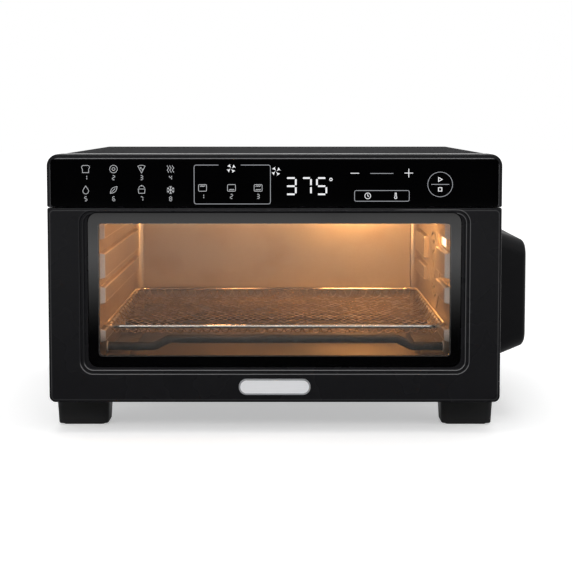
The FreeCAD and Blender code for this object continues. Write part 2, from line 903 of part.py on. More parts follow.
def make_tray_guides():
    """Two channels under the cavity floor that the crumb tray's edges run in."""
    guides = []
    y0 = cavity_front + 4
    y1 = cavity_back - 4
    top = cavity_bottom - sheet
    low = tray_bottom - seat_gap - sheet
    for side in (-1, 1):
        web_in = cavity_middle + side * (tray_half + seat_gap)
        web_out = web_in + side * sheet
        foot_in = web_in - side * tray_guide_width
        web = box(min(web_in, web_out), max(web_in, web_out), y0, y1, low, top)
        foot = box(min(foot_in, web_out), max(foot_in, web_out), y0, y1, low, low + sheet)
        guides.append(web.fuse(foot).removeSplitter())
    return Part.makeCompound(guides)


# Places along the fan's axis, outwards from the cavity
chamber_in = cavity_right + sheet
chamber_out = chamber_in + chamber_depth
impeller_in = chamber_in + impeller_gap
motor_in = chamber_out + motor_gap
motor_out = motor_in + motor_length
cooling_in = motor_out + cooling_fan_gap
shaft_out = cooling_in + cooling_fan_thickness + cooling_fan_gap
bracket_sheet = motor_gap / 2


def on_fan_axis(x, outer, length):
    """A disc or bar about the fan's axis."""
    return rod((x, fan_back, fan_height), (1, 0, 0), outer, length)


def arc_slot(x, radius, width, start, sweep, thickness):
    """A curved slot about the fan's axis, as a solid that cuts it."""
    band = ring((x, fan_back, fan_height), (1, 0, 0), radius + width / 2, radius - width / 2, thickness)
    reach = radius + 3 * width
    points = [Vector(x - 1, fan_back, fan_height)]
    for share in (0.0, 0.5, 1.0):
        angle = math.radians(start + sweep * share)
        points.append(Vector(x - 1, fan_back + reach * math.cos(angle), fan_height + reach * math.sin(angle)))
    points.append(points[0])
    wedge = Part.Face(Part.makePolygon(points)).extrude(Vector(thickness + 2, 0, 0))
    return band.common(wedge)


def make_fan_guard():
    """The guard on the right wall, pierced by rings of curved slots."""
    thickness = sheet
    x = cavity_right - thickness
    disc = on_fan_axis(x, guard_radius, thickness)
    tools = [on_fan_axis(x - 1, guard_hole_radius, thickness + 2)]
    for index, radius in enumerate(guard_rings):
        count = guard_first_slots + 2 * index
        pitch = 360.0 / count
        for step in range(count):
            start = step * pitch + guard_bridge_angle / 2
            tools.append(arc_slot(x, radius, guard_slot_width, start, pitch - guard_bridge_angle, thickness))
    return cut_all(disc, tools)


def make_fan_chamber():
    """The pressed pan behind the right wall that the impeller turns in."""
    flange = on_fan_axis(chamber_in, guard_radius, sheet)
    can = on_fan_axis(chamber_in, chamber_radius, chamber_depth)
    inside = on_fan_axis(chamber_in - 1, chamber_radius - sheet, chamber_depth + 1 - sheet)
    hole = on_fan_axis(chamber_out - 2 * sheet, shaft_radius + 1.5, 3 * sheet)
    return flange.fuse(can).cut(inside).cut(hole).removeSplitter()


def fan_wheel(x, radius, count, hub_radius, thickness, plate_first):
    """A fan: a hub, a disc and straight blades that stand on it."""
    hub = on_fan_axis(x, hub_radius, thickness)
    disc_x = x if plate_first else x + thickness - blade_sheet
    disc = on_fan_axis(disc_x, radius, blade_sheet)
    parts = [hub, disc]
    for index in range(count):
        blade = box(x, x + thickness, fan_back - blade_sheet / 2, fan_back + blade_sheet / 2,
                    fan_height + hub_radius * 0.8, fan_height + radius * 0.97)
        blade.rotate(Vector(x, fan_back, fan_height), Vector(1, 0, 0), 360.0 / count * index)
        parts.append(blade)
    wheel = join(parts)
    return wheel.cut(on_fan_axis(x - 1, shaft_radius, thickness + 2))


def make_fan_impeller():
    """The blower wheel that pulls air through the guard."""
    return fan_wheel(impeller_in, fan_radius, fan_blades, fan_hub_radius, fan_thickness, False)


def make_cooling_fan():
    """The small fan that cools the motor under the side cover."""
    return fan_wheel(cooling_in, cooling_fan_radius, cooling_fan_blades, fan_hub_radius - 2,
                     cooling_fan_thickness, True)


def make_motor_shaft():
    """The shaft that carries both fans and the rotor, with a nut boss at its inner end."""
    bar = on_fan_axis(impeller_in, shaft_radius, shaft_out - impeller_in)
    nut = on_fan_axis(impeller_in - shaft_nut, shaft_radius, shaft_nut)
    return join([bar, nut])


def make_motor_rotor():
    """The rotor on the shaft inside the motor."""
    inner = motor_in + bush_length + rotor_gap
    length = motor_length - 2 * bush_length - 2 * rotor_gap
    rotor = on_fan_axis(inner, motor_radius - motor_wall - rotor_gap, length)
    return rotor.cut(on_fan_axis(inner - 1, shaft_radius, length + 2))


def make_fan_motor():
    """The motor's can with a seat for a bush in each end."""
    can = on_fan_axis(motor_in, motor_radius, motor_length)
    hollow_in = motor_in + bush_length
    hollow = on_fan_axis(hollow_in, motor_radius - motor_wall, motor_length - 2 * bush_length)
    seat = on_fan_axis(motor_in - 1, bush_radius, motor_length + 2)
    return can.cut(hollow).cut(seat)


def make_motor_bushes():
    """The two plain bearings that the shaft turns in."""
    bushes = []
    for x in (motor_in, motor_out - bush_length):
        bush = on_fan_axis(x, bush_radius, bush_length)
        bushes.append(bush.cut(on_fan_axis(x - 1, shaft_radius + running_gap, bush_length + 2)))
    return Part.makeCompound(bushes)


def make_motor_bracket():
    """The strap that bolts the motor to the fan chamber, standing off on two feet."""
    plate_in = motor_in - bracket_sheet
    half = bracket_half_height
    y0 = fan_back - bracket_width / 2
    y1 = fan_back + bracket_width / 2
    parts = [box(plate_in, motor_in, y0, y1, fan_height - half, fan_height + half)]
    for side in (-1, 1):
        end = fan_height + side * half
        inner = end - side * bracket_foot
        parts.append(box(chamber_out, motor_in, y0, y1, min(end, inner), max(end, inner)))
    return join(parts).cut(on_fan_axis(chamber_out - 1, bush_radius + 1, motor_gap + 2))


def cover_section(inset, x, share):
    """The side cover's outline at a share of its reach, drawn in by an inset."""
    front = cover_root_front + cover_front_draft * share + inset
    rear = cover_root_front + cover_root_length - cover_rear_draft * share - inset
    low = cover_root_bottom + cover_bottom_draft * share + inset
    high = cover_root_bottom + cover_root_height - cover_top_draft * share - inset
    radius = max(cover_corner - inset, 3)
    return side_outline(x, (front + rear) / 2, (low + high) / 2, rear - front, high - low, radius)


def make_side_cover():
    """The drafted, rounded cover over the fan motor, with vents in its rear slope and its tabs."""
    outer = Part.makeLoft([cover_section(0, shell_half, 0), cover_section(0, cover_out, 1)], True, True)
    rim = [edge for edge in outer.Edges if edge.BoundBox.XMin > cover_out - 0.01]
    outer = outer.makeFillet(cover_edge_radius, rim)
    inner_out = cover_out - cover_wall
    share = (inner_out - shell_half) / (cover_out - shell_half)
    inner_sections = [cover_section(cover_wall, shell_half, 0), cover_section(cover_wall, inner_out, share)]
    inner = Part.makeLoft(inner_sections, True, True)
    inner_rim = [edge for edge in inner.Edges if edge.BoundBox.XMin > inner_out - 0.01]
    inner = inner.makeFillet(cover_edge_radius - cover_wall, inner_rim)
    start = inner.common(box(shell_half - 1, cover_out, 0, body_depth, 0, front_top))
    shell = outer.cut(start)
    rear = cover_root_front + cover_root_length
    vents = []
    for row in range(cover_vents):
        z = cover_root_bottom + cover_vent_first + row * cover_vent_pitch
        vents.append(box(shell_half + 6, cover_out - 10, rear - cover_rear_draft - 4, rear + 5, z,
                         z + cover_vent_height))
    shell = cut_all(shell, vents)
    return join([shell] + cover_tab_bars())


def cover_tab_bars():
    """The tabs that stay on the cover: they reach from its wall into the shell's slots."""
    keep = box(shell_half - 3 * sheet, shell_half + 2, 0, body_depth, 0, front_top)
    return [tab.common(keep) for tab in cover_tabs(0)]


def make_lamp_lens():
    """The small window over the lamp, seated behind the right wall."""
    return side_plate(cavity_right + sheet, lamp_back, lamp_height_z, lamp_width + 2 * lamp_seat,
                      lamp_height + 2 * lamp_seat, 3, lamp_glass_thickness)


def make_lamp_holder():
    """The lamp's housing behind its window, open towards the cavity."""
    x = cavity_right + sheet + lamp_glass_thickness
    wall = lamp_holder_wall
    depth = lamp_width + 2 * lamp_seat + wall
    height = lamp_height + 2 * lamp_seat + 2 * wall
    outer = side_plate(x, lamp_back, lamp_height_z, depth, height, 4, lamp_holder_depth)
    inner = side_plate(x - 1, lamp_back, lamp_height_z, depth - 2 * wall, height - 2 * wall, 3,
                       lamp_holder_depth + 1 - wall)
    return outer.cut(inner)


def make_lamp_bulb():
    """The halogen capsule on its base in the holder."""
    x = cavity_right + sheet + lamp_glass_thickness + 3
    back = cavity_right + sheet + lamp_glass_thickness + lamp_holder_depth - lamp_holder_wall
    base_start = (back - lamp_base_length, lamp_back, lamp_height_z)
    base = rod(base_start, (1, 0, 0), lamp_bulb_radius + 1.5, lamp_base_length)
    length = back - lamp_base_length - x - lamp_bulb_radius
    glass = rod((x + lamp_bulb_radius, lamp_back, lamp_height_z), (1, 0, 0), lamp_bulb_radius, length)
    tip = Part.makeSphere(lamp_bulb_radius, Vector(x + lamp_bulb_radius, lamp_back, lamp_height_z))
    return join([base, glass, tip])


glass_middle_z = front_bottom + glass_bottom + glass_height / 2
window_middle_z = front_bottom + window_bottom + window_height / 2
badge_z = front_bottom + badge_above_bottom
inner_glass_width = window_width + 2 * inner_glass_margin
inner_glass_height = window_height + 2 * inner_glass_margin
panel_front = door_thickness - sheet
panel_bottom = hinge_z + 3.0
panel_top = door_top - inner_panel_top
notch_half = hinge_lug_width / 2 + notch_gap
spring_room = spring_turns * spring_pitch + 2 * spring_wire_radius + 1.0


def lug_centre(side):
    """X of one hinge lug's middle."""
    return side * lug_x


def make_door_frame():
    """The moulded door: stepped surround, seats for both glasses, badge recess and hinge notches."""
    width = front_width
    middle_z = front_bottom + door_height / 2
    block = front_plate(0, 0, middle_z, width, door_height, door_lower_radius, door_thickness)
    top_start = door_top - 2 * door_lower_radius
    top_corners = box(-half_front, half_front, -1, door_thickness + 1, top_start, door_top + 1)
    square_top = front_plate(0, 0, middle_z, width, door_height, door_upper_radius, door_thickness)
    block = block.cut(top_corners).fuse(square_top.common(top_corners)).removeSplitter()
    block = soften_front(block, 0, door_edge_radius)
    barrel = [edge for edge in block.Edges
              if edge.BoundBox.YMin > door_thickness - 0.01 and edge.BoundBox.ZMax < front_bottom + 0.01]
    block = block.makeFillet(hinge_from_back - 0.01, barrel)

    surround_z = front_bottom + surround_bottom + surround_height / 2
    inner_width = surround_width - 2 * surround_ledge
    inner_height = surround_height - 2 * surround_ledge
    slope = surround_slope
    outer_front = (-0.01, surround_z, surround_width, surround_height, surround_radius)
    outer_back = (surround_step, surround_z, surround_width - 2 * slope, surround_height - 2 * slope,
                  surround_radius - slope)
    inner_radius = surround_radius - surround_ledge
    inner_front = (surround_step - 0.01, surround_z, inner_width, inner_height, inner_radius)
    inner_back = (glass_recess, surround_z, inner_width - 2 * slope, inner_height - 2 * slope,
                  inner_radius - slope)
    tools = [tapered_cutter(outer_front, outer_back), tapered_cutter(inner_front, inner_back)]
    tools.append(front_plate(0, -1, glass_middle_z, glass_width + 2 * glass_gap, glass_height + 2 * glass_gap,
                             glass_radius + glass_gap, 1 + glass_recess + glass_thickness))
    tools.append(front_plate(0, -1, window_middle_z, opening_width, opening_height, opening_radius,
                             door_thickness + 2))
    pocket = inner_glass_thickness + glass_gap
    tools.append(front_plate(0, panel_front - pocket, window_middle_z, inner_glass_width + 2 * glass_gap,
                             inner_glass_height + 2 * glass_gap, window_radius + 3, pocket + 2))
    panel_width = front_width - 2 * inner_panel_side
    panel_height = panel_top - panel_bottom
    tools.append(front_plate(0, panel_front, (panel_top + panel_bottom) / 2, panel_width, panel_height,
                             panel_radius, sheet + 1))
    recess = badge_thickness - badge_proud
    tools.append(front_plate(0, -1, badge_z, badge_length + 2 * badge_gap, badge_height + 2 * badge_gap,
                             badge_height / 2 + badge_gap, 1 + recess))
    for side in (-1, 1):
        tools += hinge_cutters(side)
    for x, z in door_screw_places:
        start = (x, panel_front - screw_shank_length, z)
        tools.append(rod(start, (0, 1, 0), screw_shank_radius + running_gap, screw_shank_length + 1))
    return cut_all(block, tools)


def hinge_cutters(side):
    """The notch round one hinge lug with the bores for its bushes."""
    middle = lug_centre(side)
    lean = hinge_lug_height / 2 + notch_gap
    spring_side = -side * spring_room
    x0 = middle - notch_half + min(spring_side, 0)
    x1 = middle + notch_half + max(spring_side, 0)
    notch = box(x0, x1, hinge_y - lean, door_thickness + 1, front_bottom - 1, hinge_z + lean)
    length = (x1 - x0) + 2 * hinge_bush_length
    bore = rod((x0 - hinge_bush_length, hinge_y, hinge_z), (1, 0, 0), hinge_bush_radius, length)
    return [notch, bore]


def hinge_span(side):
    """The notch's X range, which the pin, bushes and spring share."""
    middle = lug_centre(side)
    spring_side = -side * spring_room
    return middle - notch_half + min(spring_side, 0), middle + notch_half + max(spring_side, 0)


def make_hinge_bushes():
    """Four plastic bushes in the door, one each side of each lug."""
    bushes = []
    for side in (-1, 1):
        x0, x1 = hinge_span(side)
        for start in (x0 - hinge_bush_length, x1):
            bushes.append(ring((start, hinge_y, hinge_z), (1, 0, 0), hinge_bush_radius,
                               hinge_pin_radius + running_gap, hinge_bush_length))
    return Part.makeCompound(bushes)


def make_hinge_pins():
    """The two steel pins, fixed in the lugs."""
    pins = []
    for side in (-1, 1):
        x0, x1 = hinge_span(side)
        start = x0 - hinge_bush_length + 1
        reach = x1 - x0 + 2 * (hinge_bush_length - 1)
        pins.append(rod((start, hinge_y, hinge_z), (1, 0, 0), hinge_pin_radius, reach))
    return Part.makeCompound(pins)


def make_hinge_bracket(side):
    """A plate on the front frame whose lug carries one hinge pin."""
    middle = lug_centre(side)
    half = hinge_plate_width / 2
    plate_front = frame_front - hinge_plate
    plate_top = base_bottom + hinge_plate_height
    plate = box(middle - half, middle + half, plate_front, frame_front, base_bottom, plate_top)
    low = hinge_z - hinge_lug_height / 2
    x0 = middle - hinge_lug_width / 2
    lug = box(x0, x0 + hinge_lug_width, hinge_y, frame_front, low, low + hinge_lug_height)
    nose = rod((x0, hinge_y, hinge_z), (1, 0, 0), hinge_lug_height / 2, hinge_lug_width)
    hole = rod((x0 - 1, hinge_y, hinge_z), (1, 0, 0), hinge_pin_radius, hinge_lug_width + 2)
    return join([plate, lug, nose]).cut(hole)


def make_hinge_spring(side):
    """The torsion spring wound round one pin, its outer leg lying against the lug's side."""
    x0, x1 = hinge_span(side)
    coil_radius = hinge_pin_radius + 0.5 + spring_wire_radius
    height = spring_turns * spring_pitch
    helix = Part.makeHelix(spring_pitch, height, coil_radius)
    start = helix.Edges[0].valueAt(helix.Edges[0].FirstParameter)
    along = helix.Edges[0].tangentAt(helix.Edges[0].FirstParameter)
    profile = Part.Wire([Part.Circle(start, along, spring_wire_radius).toShape()])
    coil = Part.Wire(helix.Edges).makePipeShell([profile], True, True)
    coil.rotate(Vector(0, 0, 0), Vector(0, 1, 0), 90)
    at = x0 + 1.0 if side > 0 else x1 - 1.0 - height
    coil.translate(Vector(at, hinge_y, hinge_z))
    return coil


def make_door_outer_glass():
    """The outer pane, set back in the stepped surround."""
    pane = front_plate(0, glass_recess, glass_middle_z, glass_width, glass_height, glass_radius,
                       glass_thickness)
    return soften_front(pane, glass_recess, glass_edge_radius)


def make_door_inner_glass():
    """The inner pane, held between the door frame and the inner panel."""
    return front_plate(0, panel_front - inner_glass_thickness, window_middle_z, inner_glass_width,
                       inner_glass_height, window_radius + 2.7, inner_glass_thickness)


def make_door_inner_panel():
    """The steel sheet on the door's inside, with its window."""
    width = front_width - 2 * inner_panel_side - 2 * panel_fit
    height = panel_top - panel_bottom - 2 * panel_fit
    panel = front_plate(0, panel_front, (panel_top + panel_bottom) / 2, width, height,
                        panel_radius - panel_fit, sheet)
    window = front_plate(0, panel_front - 1, window_middle_z, opening_width, opening_height,
                         opening_radius, sheet + 2)
    tools = [window]
    for side in (-1, 1):
        tools += hinge_cutters(side)
    for x, z in door_screw_places:
        tools.append(rod((x, panel_front - 1, z), (0, 1, 0), screw_shank_radius + running_gap, sheet + 2))
    return cut_all(panel, tools)


def make_door_gasket():
    """The silicone seal on the inner panel, which meets the frame round the mouth."""
    outer = mouth_cutter(door_thickness, gasket_thickness, gasket_margin + gasket_width)
    return outer.cut(mouth_cutter(door_thickness - 1, gasket_thickness + 2, gasket_margin))


def make_badge_plate():
    """The bare rounded plate at the foot of the door, with a raised rim."""
    y = -badge_proud
    plate = front_plate(0, y, badge_z, badge_length, badge_height, badge_height / 2, badge_thickness)
    dish_height = badge_height - 2 * badge_rim
    dish = front_plate(0, y - 1, badge_z, badge_length - 2 * badge_rim, dish_height, dish_height / 2,
                       1 + badge_dish)
    return plate.cut(dish)


touch_glass_z = fascia_bottom + touch_glass_above + touch_glass_height / 2
board_back = board_front + board_thickness
display_z = touch_glass_z


def make_front_fascia():
    """The moulding along the top of the front, hollow behind, with the touch glass's seat."""
    tall = front_top - fascia_bottom
    middle = (front_top + fascia_bottom) / 2
    block = front_plate(0, 0, middle, front_width, tall, corner_radius, fascia_depth)
    lower = box(-half_front, half_front, -1, fascia_depth + 1, fascia_bottom - 1, middle)
    square = front_plate(0, 0, middle, front_width, tall, fascia_lower_radius, fascia_depth)
    block = block.cut(lower).fuse(square.common(lower)).removeSplitter()
    block = soften_front(block, 0, fascia_edge_radius)
    pocket_height = tall - 2 * fascia_wall
    pocket = front_plate(0, fascia_pocket_front, middle, front_width - 2 * fascia_wall, pocket_height,
                         corner_radius - fascia_wall, fascia_depth)
    seat_depth = touch_glass_recess + touch_glass_thickness
    gap = touch_glass_gap
    seat = front_plate(0, -1, touch_glass_z, touch_glass_width + 2 * gap, touch_glass_height + 2 * gap,
                       touch_glass_radius + gap, 1 + seat_depth)
    through = front_plate(0, -1, touch_glass_z, touch_glass_width - 2 * touch_glass_ledge,
                          touch_glass_height - 2 * touch_glass_ledge, touch_glass_radius, fascia_depth)
    return cut_all(block, [pocket, seat, through])


def make_touch_glass():
    """The gloss pane over the controls."""
    pane = front_plate(0, touch_glass_recess, touch_glass_z, touch_glass_width, touch_glass_height,
                       touch_glass_radius, touch_glass_thickness)
    return soften_front(pane, touch_glass_recess, glass_edge_radius)


def make_display_module():
    """The numeric display, standing on the control board behind the glass."""
    return front_plate(display_x, board_front - display_depth, display_z, display_width, display_height, 1,
                       display_depth)


def make_control_board():
    """The board behind the touch glass, with its controller and connector."""
    board = front_plate(0, board_front, touch_glass_z, board_width, board_height, 2, board_thickness)
    chip = box(chip_x - chip_size / 2, chip_x + chip_size / 2, board_back, board_back + chip_thickness,
               touch_glass_z - chip_size / 2, touch_glass_z + chip_size / 2)
    socket = box(socket_x - socket_width / 2, socket_x + socket_width / 2, board_back,
                 board_back + socket_depth, touch_glass_z - socket_height / 2,
                 touch_glass_z + socket_height / 2)
    tools = []
    for x, z in carrier_posts():
        tools.append(rod((x, board_front - 1, z), (0, 1, 0), carrier_pin_radius, board_thickness + 2))
    return cut_all(join([board, chip, socket]), tools)


def carrier_posts():
    """X and Z of the posts that hold the control board off the front frame."""
    return [(x, touch_glass_z + side * carrier_half_height) for x in carrier_xs for side in (-1, 1)]


def make_board_carrier():
    """The plastic comb that stands on the front frame and carries the control board."""
    parts = []
    for x, z in carrier_posts():
        parts.append(rod((x, board_back, z), (0, 1, 0), carrier_post_radius, frame_front - board_back))
        parts.append(rod((x, board_front - 0.5, z), (0, 1, 0), carrier_pin_radius, board_thickness + 0.5))
    front = frame_front - carrier_thickness
    half = carrier_bar_half
    for side in (-1, 1):
        z = touch_glass_z + side * carrier_half_height
        parts.append(box(carrier_xs[0], carrier_xs[-1], front, frame_front, z - half, z + half))
    for x in carrier_xs:
        parts.append(box(x - half, x + half, front, frame_front, touch_glass_z - carrier_half_height,
                         touch_glass_z + carrier_half_height))
    return join(parts)


def make_power_board():
    """The board on the base pan that switches the heaters and the motor."""
    low = base_bottom + sheet + power_board_lift
    board = flat_plate(power_board_x, power_board_y, low, power_board_width, power_board_depth,
                       board_corner, board_thickness)
    tools = []
    for x, y in standoff_places():
        tools.append(rod((x, y, low - 1), (0, 0, 1), standoff_pin_radius, board_thickness + 2))
    return cut_all(board, tools)


def standoff_places():
    """X and Y of the spacers under the power board's corners."""
    half_x = power_board_width / 2 - standoff_inset
    half_y = power_board_depth / 2 - standoff_inset
    return [(power_board_x + sx * half_x, power_board_y + sy * half_y) for sx in (-1, 1) for sy in (-1, 1)]


def make_board_standoffs():
    """Four spacers that hold the power board off the base pan."""
    low = base_bottom + sheet
    posts = []
    for x, y in standoff_places():
        post = rod((x, y, low), (0, 0, 1), standoff_radius, power_board_lift)
        pin = rod((x, y, low), (0, 0, 1), standoff_pin_radius, power_board_lift + board_thickness)
        posts.append(join([post, pin]))
    return Part.makeCompound(posts)


def make_power_parts():
    """The relays, transformer and capacitor that stand on the power board."""
    z = base_bottom + sheet + power_board_lift + board_thickness
    x0 = power_board_x - power_board_width / 2
    y0 = power_board_y - power_board_depth / 2
    parts = []
    relay_x = x0 + standoff_inset + relay_width
    relay_y = y0 + power_board_depth / 3
    for index in range(3):
        x = relay_x + index * relay_pitch
        parts.append(flat_plate(x, relay_y, z, relay_width, relay_depth, 0.8, relay_height))
    transformer_x = power_board_x + power_board_width * 0.3
    parts.append(flat_plate(transformer_x, power_board_y, z, transformer_width, transformer_depth, 1.5,
                            transformer_height))
    parts.append(rod((relay_x + relay_pitch / 2, y0 + power_board_depth * 0.72, z), (0, 0, 1),
                     capacitor_radius, capacitor_height))
    return Part.makeCompound(parts)


def make_foot(side, y):
    """One tapered foot with its screw boss."""
    x = side * foot_x
    top = base_bottom
    taper = foot_taper
    lower = rounded_outline(foot_width - 2 * taper, foot_depth - 2 * taper, foot_corner - 1)
    lower.translate(Vector(x, y, pad_thickness))
    upper = rounded_outline(foot_width, foot_depth, foot_corner)
    upper.translate(Vector(x, y, top))
    foot = Part.makeLoft([lower, upper], True, True)
    bottom_rim = [edge for edge in foot.Edges if edge.BoundBox.ZMax < pad_thickness + 0.01]
    foot = foot.makeFillet(foot_edge_radius, bottom_rim)
    return foot.cut(rod((x, y, top - foot_screw_depth), (0, 0, 1), screw_shank_radius, foot_screw_depth + 1))


def make_foot_pads():
    """The four rubber pads that the oven rests on."""
    pads = []
    for side in (-1, 1):
        for y in foot_ys:
            width = foot_width - 2 * foot_taper - 2 * pad_margin
            depth = foot_depth - 2 * foot_taper - 2 * pad_margin
            pads.append(flat_plate(side * foot_x, y, 0, width, depth, 3, pad_thickness))
    return Part.makeCompound(pads)


def make_rear_spacers():
    """Two blocks on the back panel that keep the oven off a wall."""
    blocks = []
    for side in (-1, 1):
        block = front_plate(side * spacer_x, body_depth, spacer_z, spacer_width, spacer_height,
                            spacer_corner, spacer_reach)
        rear = [edge for edge in block.Edges if edge.BoundBox.YMin > body_depth + spacer_reach - 0.01]
        blocks.append(block.makeFillet(spacer_edge_radius, rear))
    return Part.makeCompound(blocks)


def make_cord_gland():
    """The bush in the back panel that the mains cord would pass through."""
    collar = rod((gland_x, body_depth, gland_z), (0, 1, 0), gland_collar_radius, gland_collar)
    neck = rod((gland_x, body_depth - gland_inside, gland_z), (0, 1, 0), gland_radius, gland_inside)
    length = gland_inside + gland_collar
    bore = rod((gland_x, body_depth - gland_inside - 1, gland_z), (0, 1, 0), gland_bore_radius, length + 2)
    return join([collar, neck]).cut(bore)


def screw(start, axis, head_radius=screw_head_radius):
    """One screw whose head stands at a start point and whose shank runs back against the axis."""
    way = Vector(*axis)
    head = rod(start, axis, head_radius, screw_head_height)
    base = Vector(*start)
    shank = Part.makeCylinder(screw_shank_radius, screw_shank_length, base, way * -1)
    top = base + way * screw_head_height
    across = Vector(0, 0, 1) if abs(way.z) < 0.5 else Vector(1, 0, 0)
    other = way.cross(across)
    slots = []
    for first, second in ((across, other), (other, across)):
        long = head_radius * cross_reach
        corner = top - first * long - second * (cross_width / 2) - way * cross_depth
        points = [corner, corner + first * 2 * long, corner + first * 2 * long + second * cross_width]
        points += [corner + second * cross_width, corner]
        slots.append(Part.Face(Part.makePolygon(points)).extrude(way * (cross_depth + 1)))
    edges = [edge for edge in head.Edges if (edge.CenterOfMass - top).Length < 0.01]
    head = head.makeFillet(screw_edge_radius, edges[:1])
    return head.fuse(shank).removeSplitter().cut(Part.makeCompound(slots))


def make_door_screws():
    """The screws that hold the door's inner panel."""
    screws = []
    for x, z in door_screw_places:
        screws.append(screw((x, door_thickness, z), (0, 1, 0), door_screw_head_radius))
    return Part.makeCompound(screws)


def make_case_screws():
    """The screws of the case: those of the back panel, and those of the feet, driven from inside."""
    top = base_bottom + sheet
    screws = [screw((x, body_depth, z), (0, 1, 0)) for x, z in back_screw_places]
    screws += [screw((side * foot_x, y, top), (0, 0, 1)) for side in (-1, 1) for y in foot_ys]
    return Part.makeCompound(screws)


save("front_frame", make_front_frame())
save("outer_shell", make_outer_shell())
save("back_panel", make_back_panel())
save("base_pan", make_base_pan())
save("side_cover", make_side_cover())
save("cavity_left_wall", make_side_wall(True))
save("cavity_right_wall", make_side_wall(False))
save("cavity_roof", make_cavity_roof())
save("cavity_floor", make_cavity_floor())
save("cavity_back_wall", make_cavity_back_wall())
save("temperature_probe", make_temperature_probe())
save("thermal_cutout", make_thermal_cutout())
save("upper_heater_front", make_heater(True, heater_ys[0]))
save("upper_heater_rear", make_heater(True, heater_ys[1]))
save("lower_heater_front", make_heater(False, heater_ys[0]))
save("lower_heater_rear", make_heater(False, heater_ys[1]))
save("heater_bushes", make_heater_bushes())
save("lamp_lens", make_lamp_lens())
save("lamp_holder", make_lamp_holder())
save("lamp_bulb", make_lamp_bulb())
save("basket_rim", make_basket_rim())
save("basket_net", make_basket_net())
save("crumb_tray", make_crumb_tray())
save("crumb_tray_guides", make_tray_guides())
save("fan_guard", make_fan_guard())
save("fan_chamber", make_fan_chamber())
save("fan_impeller", make_fan_impeller())
save("motor_shaft", make_motor_shaft())
save("motor_rotor", make_motor_rotor())
save("fan_motor", make_fan_motor())
save("motor_bushes", make_motor_bushes())
save("motor_bracket", make_motor_bracket())
save("cooling_fan", make_cooling_fan())
save("door_frame", make_door_frame())
save("door_outer_glass", make_door_outer_glass())
save("door_inner_glass", make_door_inner_glass())
save("door_inner_panel", make_door_inner_panel())
save("door_gasket", make_door_gasket())
save("door_screws", make_door_screws())
save("badge_plate", make_badge_plate())
save("hinge_bushes", make_hinge_bushes())
save("hinge_pins", make_hinge_pins())
save("hinge_brackets", Part.makeCompound([make_hinge_bracket(side) for side in (-1, 1)]))
save("hinge_springs", Part.makeCompound([make_hinge_spring(side) for side in (-1, 1)]))
save("front_fascia", make_front_fascia())
save("touch_glass", make_touch_glass())
save("display_module", make_display_module())
save("control_board", make_control_board())
save("board_carrier", make_board_carrier())
save("power_board", make_power_board())
save("power_board_standoffs", make_board_standoffs())
save("power_board_parts", make_power_parts())
save("rear_spacers", make_rear_spacers())
save("cord_gland", make_cord_gland())
save("case_screws", make_case_screws())
save("foot_pads", make_foot_pads())
for end, y in (("front", foot_ys[0]), ("rear", foot_ys[1])):
    for name, side in (("left", -1), ("right", 1)):
        save("foot_" + end + "_" + name, make_foot(side, y))
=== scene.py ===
# %% [markdown]
# # A small air fryer oven, dressed over its CAD frame
# The CAD model gives every solid its true place and size. This lesson adds what a solid can't carry:
# finishes, the lit legends on the touch panel, the woven basket and the light inside the oven.
# The frame comes first.

# %% Load the frame
import json
import math

import bpy
import numpy as np
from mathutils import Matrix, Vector


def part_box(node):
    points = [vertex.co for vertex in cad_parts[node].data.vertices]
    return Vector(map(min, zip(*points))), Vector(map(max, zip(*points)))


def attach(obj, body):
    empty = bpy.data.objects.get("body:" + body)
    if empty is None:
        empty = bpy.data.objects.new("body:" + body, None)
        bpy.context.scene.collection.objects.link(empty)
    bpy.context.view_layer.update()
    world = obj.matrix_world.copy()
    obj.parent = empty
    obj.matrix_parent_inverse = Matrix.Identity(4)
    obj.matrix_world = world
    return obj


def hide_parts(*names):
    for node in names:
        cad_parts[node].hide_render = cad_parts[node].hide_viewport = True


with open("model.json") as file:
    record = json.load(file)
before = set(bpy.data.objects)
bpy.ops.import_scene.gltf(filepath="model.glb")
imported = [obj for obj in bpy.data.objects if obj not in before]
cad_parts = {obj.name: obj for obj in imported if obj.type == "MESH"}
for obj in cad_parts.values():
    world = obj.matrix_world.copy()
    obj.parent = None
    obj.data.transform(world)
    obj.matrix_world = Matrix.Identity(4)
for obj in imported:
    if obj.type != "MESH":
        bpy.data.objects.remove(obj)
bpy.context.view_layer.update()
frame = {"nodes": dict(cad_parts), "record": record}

# %% [markdown]
# Places on the oven are easiest to give as a maker would: millimetres from the middle of the front, back
# from the door's face and up from the table. The frame's origin is the middle of the whole oven, so the
# shift between the two is measured from pieces that we know: the touch glass lies 0.4 mm behind the face
# and is centred on the front.

# %% Millimetres to scene metres
MM = 0.001
glass_low, glass_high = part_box("touch_glass")
middle_x = (glass_low[0] + glass_high[0]) / 2
face_y = glass_low[1] - 0.4 * MM


def place(points):
    """Points in oven millimetres as scene metres: scale by 0.001, then add the front's own position."""
    return np.asarray(points, float) * MM + np.array([middle_x, face_y, 0.0])


def oven_box(node):
    """The low and high corner of a node in oven millimetres."""
    low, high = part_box(node)
    shift = np.array([middle_x, face_y, 0.0])
    return (np.array(low) - shift) / MM, (np.array(high) - shift) / MM


print("front middle at x", round(middle_x, 4), "door face at y", round(face_y, 4))

# %% [markdown]
# The photograph was taken from a little above the oven, just right of its middle, with a long lens. The
# numbers come from fitting the corners of the door, the fascia and the feet to the picture: 1.1 m before the
# face, looking 3.75 degrees down, with a focal length of 1246 pixels of a picture 573 pixels wide. The shift
# brings the oven up to its place in the picture.

